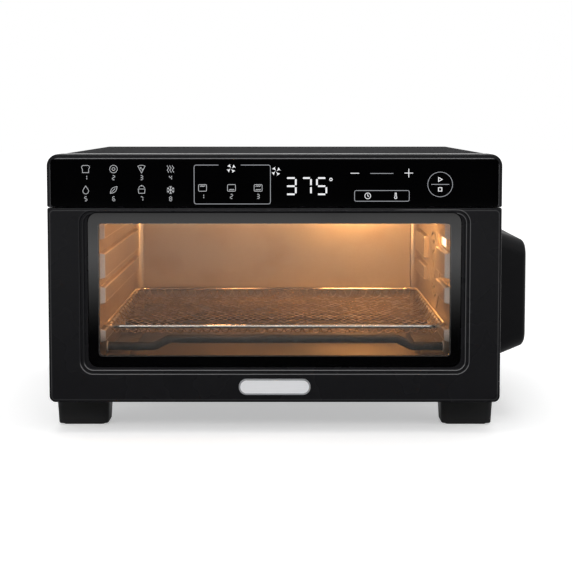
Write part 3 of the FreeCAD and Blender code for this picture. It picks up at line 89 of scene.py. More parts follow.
# %% Camera
SENSOR = 36.0
PICTURE_WIDTH = 573.0
FOCAL_PIXELS = 1246.0
LOOKS_DOWN = 3.75
camera_data = bpy.data.cameras.new("camera")
camera_data.sensor_width = SENSOR
camera_data.lens = SENSOR * FOCAL_PIXELS / PICTURE_WIDTH
camera_data.shift_y = -0.15
camera_data.clip_start = 0.05
camera_data.clip_end = 50.0
camera = bpy.data.objects.new("camera", camera_data)
camera.location = place([10.6, -1100.0, 280.5])
camera.rotation_euler = (math.radians(90.0 - LOOKS_DOWN), 0.0, 0.0)
bpy.context.scene.collection.objects.link(camera)
bpy.context.scene.camera = camera
bpy.context.scene.view_settings.view_transform = "Standard"
print("lens", round(camera_data.lens, 1), "mm, camera at", tuple(round(v, 3) for v in camera.location))

# %% [markdown]
# A finish in Blender is a net of nodes. Wiring it by hand in code is long and hard to read, so one small
# class wraps an output socket: sums on it add Math nodes, and `add` makes any other node. A formula then
# reads in code as it would on paper.


# %% Shader sums
class Signal:
    """An output socket that takes part in Python sums; each sum adds one Math node to its material."""

    def __init__(self, tree, socket=None):
        self.tree = tree
        self.socket = socket

    def add(self, kind, settings=None, inputs=None, output=0):
        """Add a node of a type, set its settings, then link or set its sockets; gives one of its outputs."""
        node = self.tree.nodes.new(kind)
        for key, value in (settings or {}).items():
            setattr(node, key, value)
        for key, value in (inputs or {}).items():
            if isinstance(value, Signal):
                self.tree.links.new(value.socket, node.inputs[key])
            else:
                node.inputs[key].default_value = value
        return Signal(self.tree, node.outputs[output])

    def math(self, operation, first, second=None):
        """One Math node on one or two values."""
        inputs = {0: first} if second is None else {0: first, 1: second}
        return self.add("ShaderNodeMath", {"operation": operation}, inputs)

    def __add__(self, other):
        return self.math("ADD", self, other)

    def __sub__(self, other):
        return self.math("SUBTRACT", self, other)

    def __rsub__(self, other):
        return self.math("SUBTRACT", other, self)

    def __mul__(self, other):
        return self.math("MULTIPLY", self, other)

    def __pow__(self, other):
        return self.math("POWER", self, other)

    __radd__ = __add__
    __rmul__ = __mul__

    def absolute(self):
        """The value without its sign."""
        return self.math("ABSOLUTE", self)

    def sine(self):
        """The sine of the value in radians."""
        return self.math("SINE", self)

    def at_least(self, other):
        """The larger of two values."""
        return self.math("MAXIMUM", self, other)

    def step(self, low, high, start=0.0, end=1.0):
        """A soft step: start below low, end above high, and a smooth ease between."""
        return self.add("ShaderNodeMapRange", {"interpolation_type": "SMOOTHSTEP"},
                        {"Value": self, "From Min": low, "From Max": high, "To Min": start, "To Max": end})


print("shader sums ready")

# %% [markdown]
# Most finishes share a few building blocks: a place on the object in metres, noise at a real grain size,
# a blend of two colours and a bump of a real depth. Place comes from Object coordinates, so a pattern keeps
# its size on every piece and stays put when the oven is seen from another side.


# %% Building blocks for finishes
def where(start):
    """Object coordinates: the place in metres."""
    return start.add("ShaderNodeTexCoord", output=3)


def parts(start, vector):
    """A vector's three numbers."""
    node = start.add("ShaderNodeSeparateXYZ", None, {0: vector}).socket.node
    return [Signal(start.tree, out) for out in node.outputs]


def axes(start):
    """The place split into its three numbers."""
    return parts(start, where(start))


def rays(start, *kinds):
    """For each kind of ray a value that is 1 where Blender follows such a ray and 0 elsewhere. Only the
    world and the floor use it."""
    outputs = start.add("ShaderNodeLightPath").socket.node.outputs
    return [Signal(start.tree, outputs[kind]) for kind in kinds]


def stretched(start, factors):
    """The place with each axis scaled, so that noise draws out along one direction."""
    return start.add("ShaderNodeMapping", None, {"Vector": where(start), "Scale": factors})


def noise(start, size, detail=2.0, stretch=(1.0, 1.0, 1.0), rough=0.5):
    """Noise from 0 to 1 whose grains are about `size` millimetres across, drawn out by `stretch`."""
    return start.add("ShaderNodeTexNoise", None,
                     {"Vector": stretched(start, stretch), "Scale": 1000.0 / size, "Detail": detail,
                      "Roughness": rough})


def colour(red, green, blue):
    """An opaque colour."""
    return (red, green, blue, 1.0)


def blend(start, factor, first, second):
    """A mix of two colours: the first where the factor is 0, the second where it is 1."""
    node = start.tree.nodes.new("ShaderNodeMix")
    node.data_type = "RGBA"
    sockets = {"Factor_Float": factor, "A_Color": first, "B_Color": second}
    for socket in node.inputs:
        value = sockets.get(socket.identifier)
        if isinstance(value, Signal):
            start.tree.links.new(value.socket, socket)
        elif value is not None:
            socket.default_value = value
    outputs = [socket for socket in node.outputs if socket.identifier == "Result_Color"]
    return Signal(start.tree, outputs[0])


def bump(start, height, depth, strength=1.0):
    """A normal bent by a height from 0 to 1 that stands for `depth` millimetres."""
    return start.add("ShaderNodeBump", None, {"Height": height, "Distance": depth * MM, "Strength": strength})


materials = {}


def finish(name, recipe, **constants):
    """A material, kept under its name: constants go on the shader's own sockets, and the recipe gives what
    varies."""
    material = bpy.data.materials.new(name)
    material.use_nodes = True
    tree = material.node_tree
    shader = tree.nodes["Principled BSDF"]
    for key, value in constants.items():
        shader.inputs[key.replace("_", " ")].default_value = value
    for key, value in recipe(Signal(tree)).items():
        tree.links.new(value.socket, shader.inputs[key])
    materials[name] = material


print("building blocks ready")

# %% [markdown]
# A black gloss object shows its room more than itself. Photographers light one with a white wall behind,
# large soft lamps above and a dark room in front, so that its face stays black. The world does the same:
# the camera sees white, reflections see white behind and above and a dark room ahead, and everything else
# gets a modest even light.

# %% World
world = bpy.data.worlds.new("studio")
bpy.context.scene.world = world
world.use_nodes = True
air = Signal(world.node_tree)
seen, mirrored, through = rays(air, "Is Camera Ray", "Is Glossy Ray", "Is Transmission Ray")
_, backward, upward = parts(air, air.add("ShaderNodeTexCoord", output=0))
room = backward.step(-0.35, 0.45, 0.05, 0.9).at_least(upward.step(0.25, 0.85, 0.0, 0.9))
white = seen.at_least(through)
EVEN_LIGHT = 0.42
strength = white + mirrored * room + (1.0 - white.at_least(mirrored)) * EVEN_LIGHT
background = air.tree.nodes["Background"]
background.inputs["Color"].default_value = colour(1.0, 1.0, 1.0)
air.tree.links.new(strength.socket, background.inputs["Strength"])
print("world ready")

# %% [markdown]
# The floor is a wide pale sheet. Its own colour is near white, and the camera sees it a little lifted, so
# that it runs into the white behind while the oven's shadow stays. Reflections see a pale band about two
# metres in front of the oven and dark on both sides of it, as if black cards lay there. The door glass
# mirrors the band's near edge, which gives it its fade from grey at the top to black at the bottom.

# %% Floor
floor_mesh = bpy.data.meshes.new("floor")
floor_mesh.from_pydata([(-9, -9, 0), (9, -9, 0), (9, 9, 0), (-9, 9, 0)], [], [(0, 1, 2, 3)])
floor = bpy.data.objects.new("floor", floor_mesh)
bpy.context.scene.collection.objects.link(floor)
floor_material = bpy.data.materials.new("pale_floor")
floor_material.use_nodes = True
paper = Signal(floor_material.node_tree)
paper_shader = floor_material.node_tree.nodes["Principled BSDF"]
paper_seen, paper_mirrored = rays(paper, "Is Camera Ray", "Is Glossy Ray")
paper_x, paper_y = axes(paper)[:2]
bright_band = paper_y.step(-3.3, -2.5, 0.0, 1.0) * paper_y.step(-1.8, -0.6, 1.0, 0.0)
near_front = (1.0 - bright_band) * paper_y.step(-0.2, 0.1, 1.0, 0.0)
card = paper_mirrored * near_front
paper_colour = blend(paper, card, colour(0.86, 0.86, 0.86), colour(0.004, 0.004, 0.004))
paper.tree.links.new(paper_colour.socket, paper_shader.inputs["Base Color"])
paper_shader.inputs["Roughness"].default_value = 0.9
paper_shader.inputs["Specular IOR Level"].default_value = 0.0
paper_shader.inputs["Emission Color"].default_value = colour(1.0, 1.0, 1.0)
far_off = (paper_x * paper_x + paper_y * paper_y).step(0.5, 4.0)
lift = paper_seen * (far_off * 0.45 + 0.42) + (paper_mirrored - card) * 0.45
paper.tree.links.new(lift.socket, paper_shader.inputs["Emission Strength"])
floor_mesh.materials.append(floor_material)
print("floor ready")

# %% [markdown]
# Four soft lamps: a large one overhead that gives the rounded top edge its line of light, one high in front
# for the face, and a weak one at each side that parts the dark casing from its own shadow. They are turned
# to the oven with a track-to quaternion.


# %% Lamps
def soft_lamp(name, at, aim, size, power, tint=(1.0, 1.0, 1.0)):
    """An area lamp of a size in metres at a place in metres, turned to look at another place."""
    data = bpy.data.lights.new(name, "AREA")
    data.energy = power
    data.color = tint
    data.shape = "RECTANGLE"
    data.size, data.size_y = size
    lamp = bpy.data.objects.new(name, data)
    lamp.location = at
    lamp.rotation_euler = (Vector(aim) - Vector(at)).to_track_quat("-Z", "Y").to_euler()
    bpy.context.scene.collection.objects.link(lamp)
    return lamp


soft_lamp("overhead", (0.0, 0.1, 1.7), (0.0, 0.0, 0.1), (1.6, 1.0), 13.0)
soft_lamp("front_high", (0.0, -1.7, 1.15), (0.0, -0.1, 0.1), (1.6, 0.5), 8.0)
soft_lamp("side_left", (-1.8, -0.9, 0.9), (0.0, -0.1, 0.1), (0.6, 0.9), 4.0)
soft_lamp("side_right", (1.8, -0.6, 0.9), (0.1, 0.0, 0.1), (0.6, 0.9), 4.0)
print("lamps ready")

# %% [markdown]
# The light inside comes from the oven's own lamp on the right wall and from the heaters. Four small warm
# lamps stand for it: one under the roof on the right, a weaker one on the left, a faint line along the
# mouth's upper lip, and a low orange one under the lower heater. The camera doesn't see the lamps
# themselves.

# %% Warm light in the cavity
cavity_low = oven_box("cavity_back_wall")[0]
roof_low = oven_box("cavity_roof")[0]
cavity_floor_z = oven_box("cavity_floor")[1][2]
print("cavity: back wall at", cavity_low[1], "roof at", roof_low[2])


def warm_lamp(name, at, aim, size, power, tint):
    """A warm area lamp placed in oven millimetres."""
    lamp = soft_lamp(name, tuple(place(at)), tuple(place(aim)), (size[0] * MM, size[1] * MM), power, tint)
    lamp.visible_camera = False
    return lamp


under_roof, over_floor = roof_low[2] - 12, cavity_floor_z + 7
warm_lamp("cavity_light_right", (98, 84, under_roof), (75, 290, 130), (80, 40), 0.46, (1.0, 0.52, 0.18))
warm_lamp("cavity_light_left", (-50, 60, under_roof), (-160, 150, 110), (60, 20), 0.13, (1.0, 0.46, 0.16))
warm_lamp("heater_glow", (60, 78, over_floor), (60, 78, cavity_floor_z), (150, 8), 0.012, (1.0, 0.46, 0.14))
warm_lamp("mouth_light", (0, 15, 190.3), (0, 120, 120), (280, 1.6), 0.04, (1.0, 0.62, 0.38))
print("cavity light ready")

# %% [markdown]
# Now the finishes: one for each material slot of the record and a few variants. Sheet metal first. The
# outer shell is powder coated: dark, satin, with the faint orange-peel that melted powder leaves.
# Zinc-plated sheet shows spangle, flat crystals a few millimetres across that each mirror a little
# differently. The cavity is stainless sheet with a drawn grain and a heat tint. Below the basket's rim the
# walls are painted darker as shade under the basket, and the rack ribs of the side walls carry painted
# highlights along their edges and on their front ends. The frame round the mouth has neither.


# %% Sheet metal finishes
def powder_coat(start):
    """Dark satin coat: fine grain in the colour, orange-peel of about 1 mm in the normal."""
    grain = noise(start, 0.5, 3.0)
    peel = noise(start, 1.1, 1.0)
    cloud = noise(start, 60.0, 2.0)
    return {"Base Color": blend(start, grain * 0.5 + cloud * 0.5, colour(0.009, 0.009, 0.010),
                                colour(0.022, 0.022, 0.024)),
            "Roughness": 0.50 + cloud * 0.12,
            "Normal": bump(start, peel, 0.08, 0.6)}


def zinc_sheet(start):
    """Zinc spangle: each cell of a Voronoi pattern has its own brightness and gloss."""
    cells = start.add("ShaderNodeTexVoronoi", {"feature": "SMOOTH_F1"},
                      {"Vector": where(start), "Scale": 170.0, "Smoothness": 0.3}, output=1)
    tone = start.add("ShaderNodeSeparateColor", None, {0: cells})
    grain = noise(start, 0.8, 2.0)
    return {"Base Color": blend(start, tone * 0.7 + grain * 0.3, colour(0.40, 0.41, 0.43),
                                colour(0.62, 0.63, 0.65)),
            "Roughness": 0.30 + tone * 0.2,
            "Normal": bump(start, grain, 0.02, 0.4)}


basket_line = float(place(oven_box("basket_rim")[0])[2])
CAVITY_SIDE = 160.0
RIB_REACH = 5.0
RIB_LENGTH = 222.0
RIB_BEND = 1.2
rib_ends = oven_box("cavity_left_wall")[0][1] + 5.6
RIBS = ((18.0, 12.0), (53.0, 16.0), (76.0, 24.0), (roof_low[2] - cavity_floor_z - 38.0, 15.0))
rib_edges = [above + part for above, height in RIBS for part in (RIB_BEND, height - RIB_BEND)]


def painted_rib_highlights(start):
    """Painted highlights on the rack ribs: bright lines along both edges of each rib's inner face, and the
    small faces at the ribs' front ends painted as if lit. Each is where an absolute distance is under half a
    millimetre or so."""
    x, y, z = axes(start)
    middle, low = [float(v) for v in place([0.0, rib_ends, 0.0])[:2]]
    across = (x - middle).absolute()
    face = CAVITY_SIDE - RIB_REACH
    inward = across.step((face + 1.4) * MM, (face + 1.8) * MM, 1.0, 0.0)
    lines = 0.0
    for above in rib_edges:
        height = float(place([0.0, 0.0, cavity_floor_z + above])[2])
        lines = (z - height).absolute().step(0.0004, 0.0010, 1.0, 0.0) + lines
    on_rib = across.step((face - 1.5) * MM, (face - 1.0) * MM)
    far = low + RIB_LENGTH * MM
    depth = y.step(low, low + 0.001) * y.step(far, far + 0.002, 1.0, 0.0)
    off_wall = across.step((CAVITY_SIDE - 0.6) * MM, (CAVITY_SIDE - 0.4) * MM, 1.0, 0.0)
    ends = (y - low).absolute().step(0.0014, 0.0018, 1.0, 0.0) * off_wall
    return lines * inward * on_rib * depth, ends * on_rib


def drawn_sheet(basket_shade_level, with_rib_highlights):
    """A recipe for drawn stainless: grain stretched along the depth, clouds of heat tint, a few dull marks.
    Below the basket's rim it is painted darker as far as asked, a painted shade under the basket: a soft step
    in height.
    With rib highlights asked for, the ribs' edges and front ends get painted highlights."""
    def recipe(start):
        z = axes(start)[2]
        drawn = noise(start, 1.6, 3.0, (1.0, 0.03, 1.0))
        tint = noise(start, 45.0, 3.0)
        marks = noise(start, 9.0, 4.0, rough=0.7).step(0.58, 0.72)
        # Painted shade under the basket: the sheet is darkened below the basket's rim.
        browned = z.step(basket_line - 0.016, basket_line - 0.001, basket_shade_level, 0.0)
        clean = blend(start, drawn, colour(0.52, 0.43, 0.33), colour(0.70, 0.59, 0.46))
        warm = blend(start, tint.step(0.45, 0.75) * 0.5, clean, colour(0.50, 0.37, 0.25))
        base = blend(start, browned, warm, colour(0.075, 0.052, 0.036))
        result = {"Roughness": 0.26 + drawn * 0.06 + marks * 0.08,
                  "Normal": bump(start, tint, 0.01, 0.3)}
        # Painted highlights: pale, less metallic colour on the ribs' edge lines and front end faces, as if
        # lit.
        if with_rib_highlights:
            lines, ends = painted_rib_highlights(start)
            base = blend(start, lines, base, colour(1.0, 0.88, 0.70))
            ends = ends * (1.0 - browned)
            base = blend(start, ends, base, colour(0.95, 0.82, 0.72))
            result["Metallic"] = 0.6 - (lines * 0.5).at_least(ends * 0.6)
        result["Base Color"] = base
        return result
    return recipe


def floor_sheet(start):
    """The floor sheet, browned by crumbs and grease: dark clouds over a drawn grain, duller where burnt."""
    drawn = noise(start, 1.6, 3.0, (0.03, 1.0, 1.0))
    burnt = noise(start, 26.0, 4.0, rough=0.6)
    clean = blend(start, drawn, colour(0.115, 0.088, 0.066), colour(0.19, 0.148, 0.112))
    return {"Base Color": blend(start, burnt.step(0.42, 0.62) * 0.6, clean, colour(0.055, 0.040, 0.030)),
            "Roughness": 0.30 + burnt * 0.2,
            "Normal": bump(start, drawn, 0.03, 0.5)}


def tray_sheet(start):
    """Tray sheet browned in use, with fine scratches in two directions and a dull bloom."""
    along = noise(start, 0.9, 2.0, (0.04, 1.0, 1.0))
    across = noise(start, 1.4, 2.0, (1.0, 0.05, 1.0))
    bloom = noise(start, 30.0, 3.0)
    return {"Base Color": blend(start, along * 0.5 + bloom * 0.5, colour(0.14, 0.115, 0.095),
                                colour(0.24, 0.205, 0.17)),
            "Roughness": 0.26 + bloom * 0.2,
            "Normal": bump(start, along.at_least(across), 0.02, 0.4)}


finish("shell_paint", powder_coat, Specular_IOR_Level=0.004)
finish("case_steel", zinc_sheet, Metallic=1.0)
# The cavity finish and the wall finish are painted darker below the basket's rim: painted shade under the
# basket.
finish("cavity_steel", drawn_sheet(0.72, False), Metallic=0.6)
# The wall finish also carries the painted rib highlights.
finish("wall_steel_painted_light", drawn_sheet(0.72, True))
finish("frame_steel", drawn_sheet(0.0, False), Metallic=0.6)
finish("floor_steel", floor_sheet, Metallic=0.15, Specular_IOR_Level=0.2)
finish("tray_steel", tray_sheet, Metallic=0.5, Specular_IOR_Level=0.3)
print("finishes:", ", ".join(materials))

# %% [markdown]
# Moulded plastics keep the texture of their mould: a fine even stipple that scatters the light, with a
# slightly smoother polish where hands and cloths pass. One recipe serves them all, given a colour, a
# stipple size and a gloss.


# %% Plastics and rubber
def moulded(dark, light, stipple, gloss, depth=0.02):
    """A recipe for moulded plastic: stipple of a size in the normal, a wide cloud in gloss and tone."""
    def recipe(start):
        fine = noise(start, stipple, 2.0)
        wide = noise(start, 35.0, 2.0)
        return {"Base Color": blend(start, fine * 0.6 + wide * 0.4, dark, light),
                "Roughness": (gloss - 0.05) + wide * 0.12,
                "Normal": bump(start, fine, depth, 0.5)}
    return recipe


def rubber(start):
    """Matt rubber: a dull bloom and coarse grain."""
    grain = noise(start, 0.7, 3.0)
    bloom = noise(start, 8.0, 3.0)
    return {"Base Color": blend(start, bloom, colour(0.012, 0.012, 0.012), colour(0.035, 0.034, 0.033)),
            "Roughness": 0.62 + bloom * 0.2,
            "Normal": bump(start, grain, 0.05, 0.6)}


finish("cover_plastic", moulded(colour(0.006, 0.006, 0.007), colour(0.011, 0.011, 0.012), 0.6, 0.42, 0.03),
       Specular_IOR_Level=0.06)
plastics = {
    "foot_plastic": moulded(colour(0.015, 0.015, 0.016), colour(0.026, 0.026, 0.027), 0.5, 0.40, 0.03),
    "part_plastic": moulded(colour(0.012, 0.012, 0.013), colour(0.030, 0.030, 0.032), 0.5, 0.30),
    "bush_plastic": moulded(colour(0.55, 0.53, 0.47), colour(0.66, 0.64, 0.58), 0.8, 0.40),
}
for name, recipe in plastics.items():
    finish(name, recipe)
for name in ("seal_rubber", "foot_rubber"):
    finish(name, rubber, Specular_IOR_Level=0.35)
print("finishes:", len(materials))

# %% [markdown]
# Metals that are handled one by one: heater sheaths blued and browned by heat, ground shafts with rings
# round them, cast bronze bushes with open pores, lacquered motor steel, pressed fan alloy, plated screws
# and springs. Most differ in grain size and tint only.


# %% Small metal parts
def metal(dark, light, grain, gloss, stretch=(1.0, 1.0, 1.0), depth=0.02):
    """A recipe for bare metal: grain of a size, drawn out by a stretch, and wide patches of wear."""
    def recipe(start):
        fine = noise(start, grain, 3.0, stretch)
        patch = noise(start, grain * 14.0, 2.0)
        return {"Base Color": blend(start, fine * 0.55 + patch * 0.45, dark, light),
                "Roughness": (gloss - 0.06) + patch * 0.14,
                "Normal": bump(start, fine, depth, 0.5)}
    return recipe


def heated_sheath(start):
    """Heater sheath: brown and blue-grey oxide in clouds along the rod, with a sandy surface."""
    clouds = noise(start, 22.0, 3.0, (0.5, 1.0, 1.0))
    sand = noise(start, 0.5, 2.0)
    oxide = blend(start, clouds.step(0.35, 0.65), colour(0.022, 0.014, 0.010), colour(0.055, 0.038, 0.028))
    return {"Base Color": blend(start, sand * 0.4, oxide, colour(0.03, 0.026, 0.024)),
            "Roughness": 0.42 + clouds * 0.2,
            "Normal": bump(start, sand, 0.04, 0.6)}


def glazed(start):
    """White fired ceramic with a faint speckle."""
    speck = noise(start, 0.7, 2.0).step(0.62, 0.7)
    tone = noise(start, 6.0, 2.0)
    base = blend(start, tone, colour(0.72, 0.69, 0.62), colour(0.82, 0.80, 0.74))
    return {"Base Color": blend(start, speck * 0.4, base, colour(0.45, 0.40, 0.34)),
            "Roughness": 0.22 + tone * 0.15,
            "Normal": bump(start, tone, 0.05, 0.3)}


def laminate(start):
    """Green solder resist over copper tracks: straight bands in two directions show through."""
    x, y, z = axes(start)
    bands = (x * 1400.0).sine().step(0.55, 0.75) * 0.6 + ((y + z) * 1700.0).sine().step(0.7, 0.85) * 0.4
    weave = noise(start, 0.4, 2.0)
    green = blend(start, bands, colour(0.012, 0.085, 0.030), colour(0.030, 0.190, 0.070))
    return {"Base Color": blend(start, weave * 0.2, green, colour(0.01, 0.05, 0.02)),
            "Roughness": 0.28 + weave * 0.12,
            "Normal": bump(start, bands, 0.03, 0.5)}


grey = colour(0.38, 0.38, 0.39)
pale = colour(0.62, 0.62, 0.63)
finish("heater_metal", heated_sheath, Metallic=0.4)
finish("ceramic", glazed)
finish("board_laminate", laminate)
finish("motor_metal", metal(colour(0.02, 0.02, 0.022), colour(0.07, 0.07, 0.075), 0.8, 0.32), Metallic=0.3)
bare_metals = {
    "fan_alloy": metal(grey, pale, 0.9, 0.34),
    "shaft_steel": metal(grey, pale, 0.5, 0.22, (1.0, 0.1, 0.1)),
    "bronze": metal(colour(0.36, 0.22, 0.10), colour(0.62, 0.42, 0.22), 0.35, 0.38, depth=0.05),
    "screw_steel": metal(grey, pale, 0.4, 0.28),
    "spring_steel": metal(colour(0.2, 0.2, 0.2), grey, 0.3, 0.30),
    "net_wire": metal(colour(0.55, 0.43, 0.30), colour(0.98, 0.82, 0.62), 1.2, 0.26),
    "polished_wire": metal(colour(0.72, 0.68, 0.62), colour(0.86, 0.83, 0.78), 3.0, 0.14, depth=0.01),
}
for name, recipe in bare_metals.items():
    finish(name, recipe, Metallic=1.0)
print("finishes:", len(materials))

# %% [markdown]
# Glass. The door's outer pane is clear in the middle and carries a printed black border on its back. In
# the shader that is one formula: the distance from a rounded rectangle, negative inside it. Where the
# distance is negative the pane is see-through, elsewhere opaque black. Alpha is used instead of
# refraction: a flat pane hardly bends light, and the view through it stays clean.

# %% Door glass
outer_low, outer_high = oven_box("door_outer_glass")
WINDOW_SIZE = (313.6, 118.9)
WINDOW_FOOT = 9.8
WINDOW_MIDDLE = ((outer_low[0] + outer_high[0]) / 2, outer_low[2] + WINDOW_FOOT + WINDOW_SIZE[1] / 2)
WINDOW_RADIUS = 3.0


def distance_from(start, middle, size, radius):
    """Distance in metres from a rounded rectangle in the front's plane, its measures given in millimetres:
    with q the place's offset from the middle less the half size and plus the radius, it is the length of
    q's positive part less the radius, and where q has no positive part, the larger of its two numbers less
    the radius."""
    x, _, z = axes(start)
    centre = place([middle[0], 0.0, middle[1]])
    over_x = (x - float(centre[0])).absolute() - (size[0] / 2 - radius) * MM
    over_z = (z - float(centre[2])).absolute() - (size[1] / 2 - radius) * MM
    past_x, past_z = over_x.at_least(0.0), over_z.at_least(0.0)
    round_part = (past_x * past_x + past_z * past_z) ** 0.5
    flat_part = 0.0 - (0.0 - over_x.at_least(over_z)).at_least(0.0)
    return round_part + flat_part - radius * MM


def printed_glass(start):
    """Black print outside the window with a thin paler edge, clear glass inside it, and a soft wipe mark in
    the gloss. The edge is where the distance's absolute value is under half a millimetre."""
    away = distance_from(start, WINDOW_MIDDLE, WINDOW_SIZE, WINDOW_RADIUS)
    border = away.step(-0.00015, 0.00015)
    edge = away.absolute().step(0.0002, 0.00042, 1.0, 0.0)
    wipe = noise(start, 60.0, 3.0, (1.0, 1.0, 0.3))
    return {"Base Color": blend(start, edge, colour(0.0012, 0.0012, 0.0014), colour(0.075, 0.070, 0.066)),
            "Alpha": (border * 0.93 + 0.07).at_least(edge * 0.55),
            "Roughness": 0.03 + wipe.step(0.5, 0.8) * 0.03}


def clear_glass(start):
    """Nearly clear pane with a soft wipe mark in the gloss."""
    wipe = noise(start, 50.0, 3.0, (1.0, 1.0, 0.3))
    return {"Roughness": 0.03 + wipe.step(0.5, 0.8) * 0.04}


def black_backed_glass(start):
    """Deep black glass: a trace of haze in the gloss, nothing in the colour but a hint of cloud."""
    haze = noise(start, 70.0, 2.0)
    return {"Base Color": blend(start, haze, colour(0.0006, 0.0006, 0.0007), colour(0.0014, 0.0014, 0.0016)),
            "Roughness": 0.035 + haze * 0.03}


finish("outer_glass", printed_glass, Specular_IOR_Level=0.6, IOR=1.6)
finish("inner_glass", clear_glass, Alpha=0.04, Base_Color=colour(0.8, 0.85, 0.83))
finish("black_glass", black_backed_glass, Specular_IOR_Level=0.05)
print("window middle", np.round(WINDOW_MIDDLE, 1), "size", WINDOW_SIZE)

# %% [markdown]
# The door and the moulding above it are one family: fine stipple, soft gloss, and narrow painted highlights
# where a rounded edge meets a flat face. The same distance formula finds them. The moulding has one along
# the top of the oven. The door has one round its outline and two round the recess of its glass, and those
# two are painted bright at the foot and on the right, where the light falls.

# %% Door and fascia plastic
door_low, door_high = oven_box("door_frame")
fascia_low, fascia_high = oven_box("front_fascia")


def plastic_with_painted_highlights(*rings):
    """A recipe: moulded plastic with fine painted highlight lines in it. Each ring is a rounded rectangle's
    low and high corner and radius, the line's inset from it, the height where its level changes, its level
    above and below that height, and the least level on its right side."""
    plain_recipe = moulded(colour(0.008, 0.008, 0.009), colour(0.014, 0.014, 0.016), 0.35, 0.26)

    def recipe(start):
        finish_of = plain_recipe(start)
        x, y, z = axes(start)
        lines = 0.0
        for low, high, radius, inset, turn_height, above, below, right in rings:
            middle = ((low[0] + high[0]) / 2, (low[2] + high[2]) / 2)
            size = (high[0] - low[0], high[2] - low[2])
            centre, front, turn = [float(v) for v in place([middle[0], low[1] + 2.0, turn_height])]
            away = distance_from(start, middle, size, radius)
            line = (away + inset * MM).absolute().step(0.00015, 0.0005, 1.0, 0.0)
            level = z.step(turn - 0.003, turn + 0.003, below, above)
            level = level.at_least(x.step(centre + 0.10, centre + 0.12, 0.0, right))
            lines = line * level * y.step(front, front + 0.0003, 1.0, 0.0) + lines
        # Painted highlights: the lines blend the plastic's colour towards white.
        finish_of["Base Color"] = blend(start, lines, finish_of["Base Color"], colour(1.0, 1.0, 1.02))
        return finish_of
    return recipe


SURROUND_SIDE, SURROUND_FOOT, SURROUND_HEAD, LEDGE = 28.3, 25.8, 2.1, 3.4
ring_low = door_low + [SURROUND_SIDE, 0.0, SURROUND_FOOT]
ring_high = door_high - [SURROUND_SIDE, 0.0, SURROUND_HEAD]
fascia_line = plastic_with_painted_highlights((fascia_low - [0, 0, 30], fascia_high - [0, 0, 0.9],
                             10.5, 3.0, 244.0, 0.22, 0.05, 0.0))
door_line = plastic_with_painted_highlights((door_low, door_high, 5.6, 2.4, 35.0, 0.045, 0.025, 0.0),
                          (ring_low, ring_high, 11.5, -0.4, 62.0, 0.012, 0.17, 0.09),
                          (ring_low, ring_high, 11.5, LEDGE - 0.5, 62.0, 0.010, 0.22, 0.09))
finish("fascia_plastic", fascia_line, Specular_IOR_Level=0.22)
finish("door_plastic", door_line, Specular_IOR_Level=0.12)
print("fascia and door dressed")

# %% [markdown]
# The lamp's small window glows warm, brightest in its middle where the capsule sits. The capsule has the
# same finish.

# %% Lamp glow
lens_low, lens_high = oven_box("lamp_lens")
lens_middle = place((lens_low + lens_high) / 2)


def lamp_glow(start):
    """Warm light that falls off from the lens's middle along the depth."""
    _, y, z = axes(start)
    fall = (y - float(lens_middle[1])).absolute().step(0.004, 0.024, 1.0, 0.25)
    ribs = (z * 5200.0).sine() * 0.12 + 0.88
    glow = fall * ribs
    return {"Emission Color": blend(start, glow, colour(0.30, 0.16, 0.05), colour(1.0, 0.86, 0.62)),
            "Roughness": 0.15 + ribs * 0.1}


finish("lamp_glass", lamp_glow, Base_Color=colour(0.8, 0.7, 0.5), Emission_Strength=2.2)
print("lens middle", np.round(lens_middle, 4))

# %% [markdown]
# The badge plate at the foot of the door is left bare. Its face is brushed along its length and its raised
# rim is polished. The CAD plate has the rim, so one finish can tell them apart by depth: the face lies
# behind the rim.

# %% Badge
BADGE_RIM_STEP = 0.15
badge_front = oven_box("badge_plate")[0][1]
badge_face_y = float(place([0.0, badge_front + BADGE_RIM_STEP, 0.0])[1])


def brushed_badge(start):
    """Brushed along X on the sunk face, polished on the rim in front of it."""
    sunk = axes(start)[1].step(badge_face_y - 0.00003, badge_face_y + 0.00003)
    lines = noise(start, 0.35, 3.0, (0.015, 1.0, 1.0))
    shade = blend(start, lines, colour(0.84, 0.85, 0.88), colour(0.97, 0.98, 1.0))
    return {"Base Color": blend(start, sunk, colour(0.36, 0.37, 0.39), shade),
            "Roughness": sunk * 0.24 + 0.10,
            "Normal": bump(start, lines * sunk, 0.02, 0.6)}


finish("badge_metal", brushed_badge, Metallic=0.05)
print("badge face parted from its rim at y", round(badge_face_y, 5))

# %% [markdown]
# Each node of the record names its slot, so the finishes go on in one loop. Five pieces in and round the
# cavity take a variant. Only material slots change: the CAD meshes stay as they are.

# %% Dress the CAD nodes
slots_of_nodes = {row["node"]: row["material_slot"] for row in frame["record"]["subparts"]}
variants = {"cavity_floor": "floor_steel", "front_frame": "frame_steel", "fan_guard": "frame_steel",
            "cavity_left_wall": "wall_steel_painted_light", "cavity_right_wall": "wall_steel_painted_light"}
for name, thing in frame["nodes"].items():
    thing.data.materials.clear()
    thing.data.materials.append(materials[variants.get(name, slots_of_nodes[name])])
print("dressed", len(slots_of_nodes), "nodes with", len(materials), "finishes")

# %% [markdown]
# Wires, rims and seals are all one idea: a profile carried along a path. The path gives a direction at
# each of its points. With a fixed "up", the cross product gives a sideways direction, and the profile's
# two numbers are measured along sideways and up. Whole families of paths are swept in one array sum.


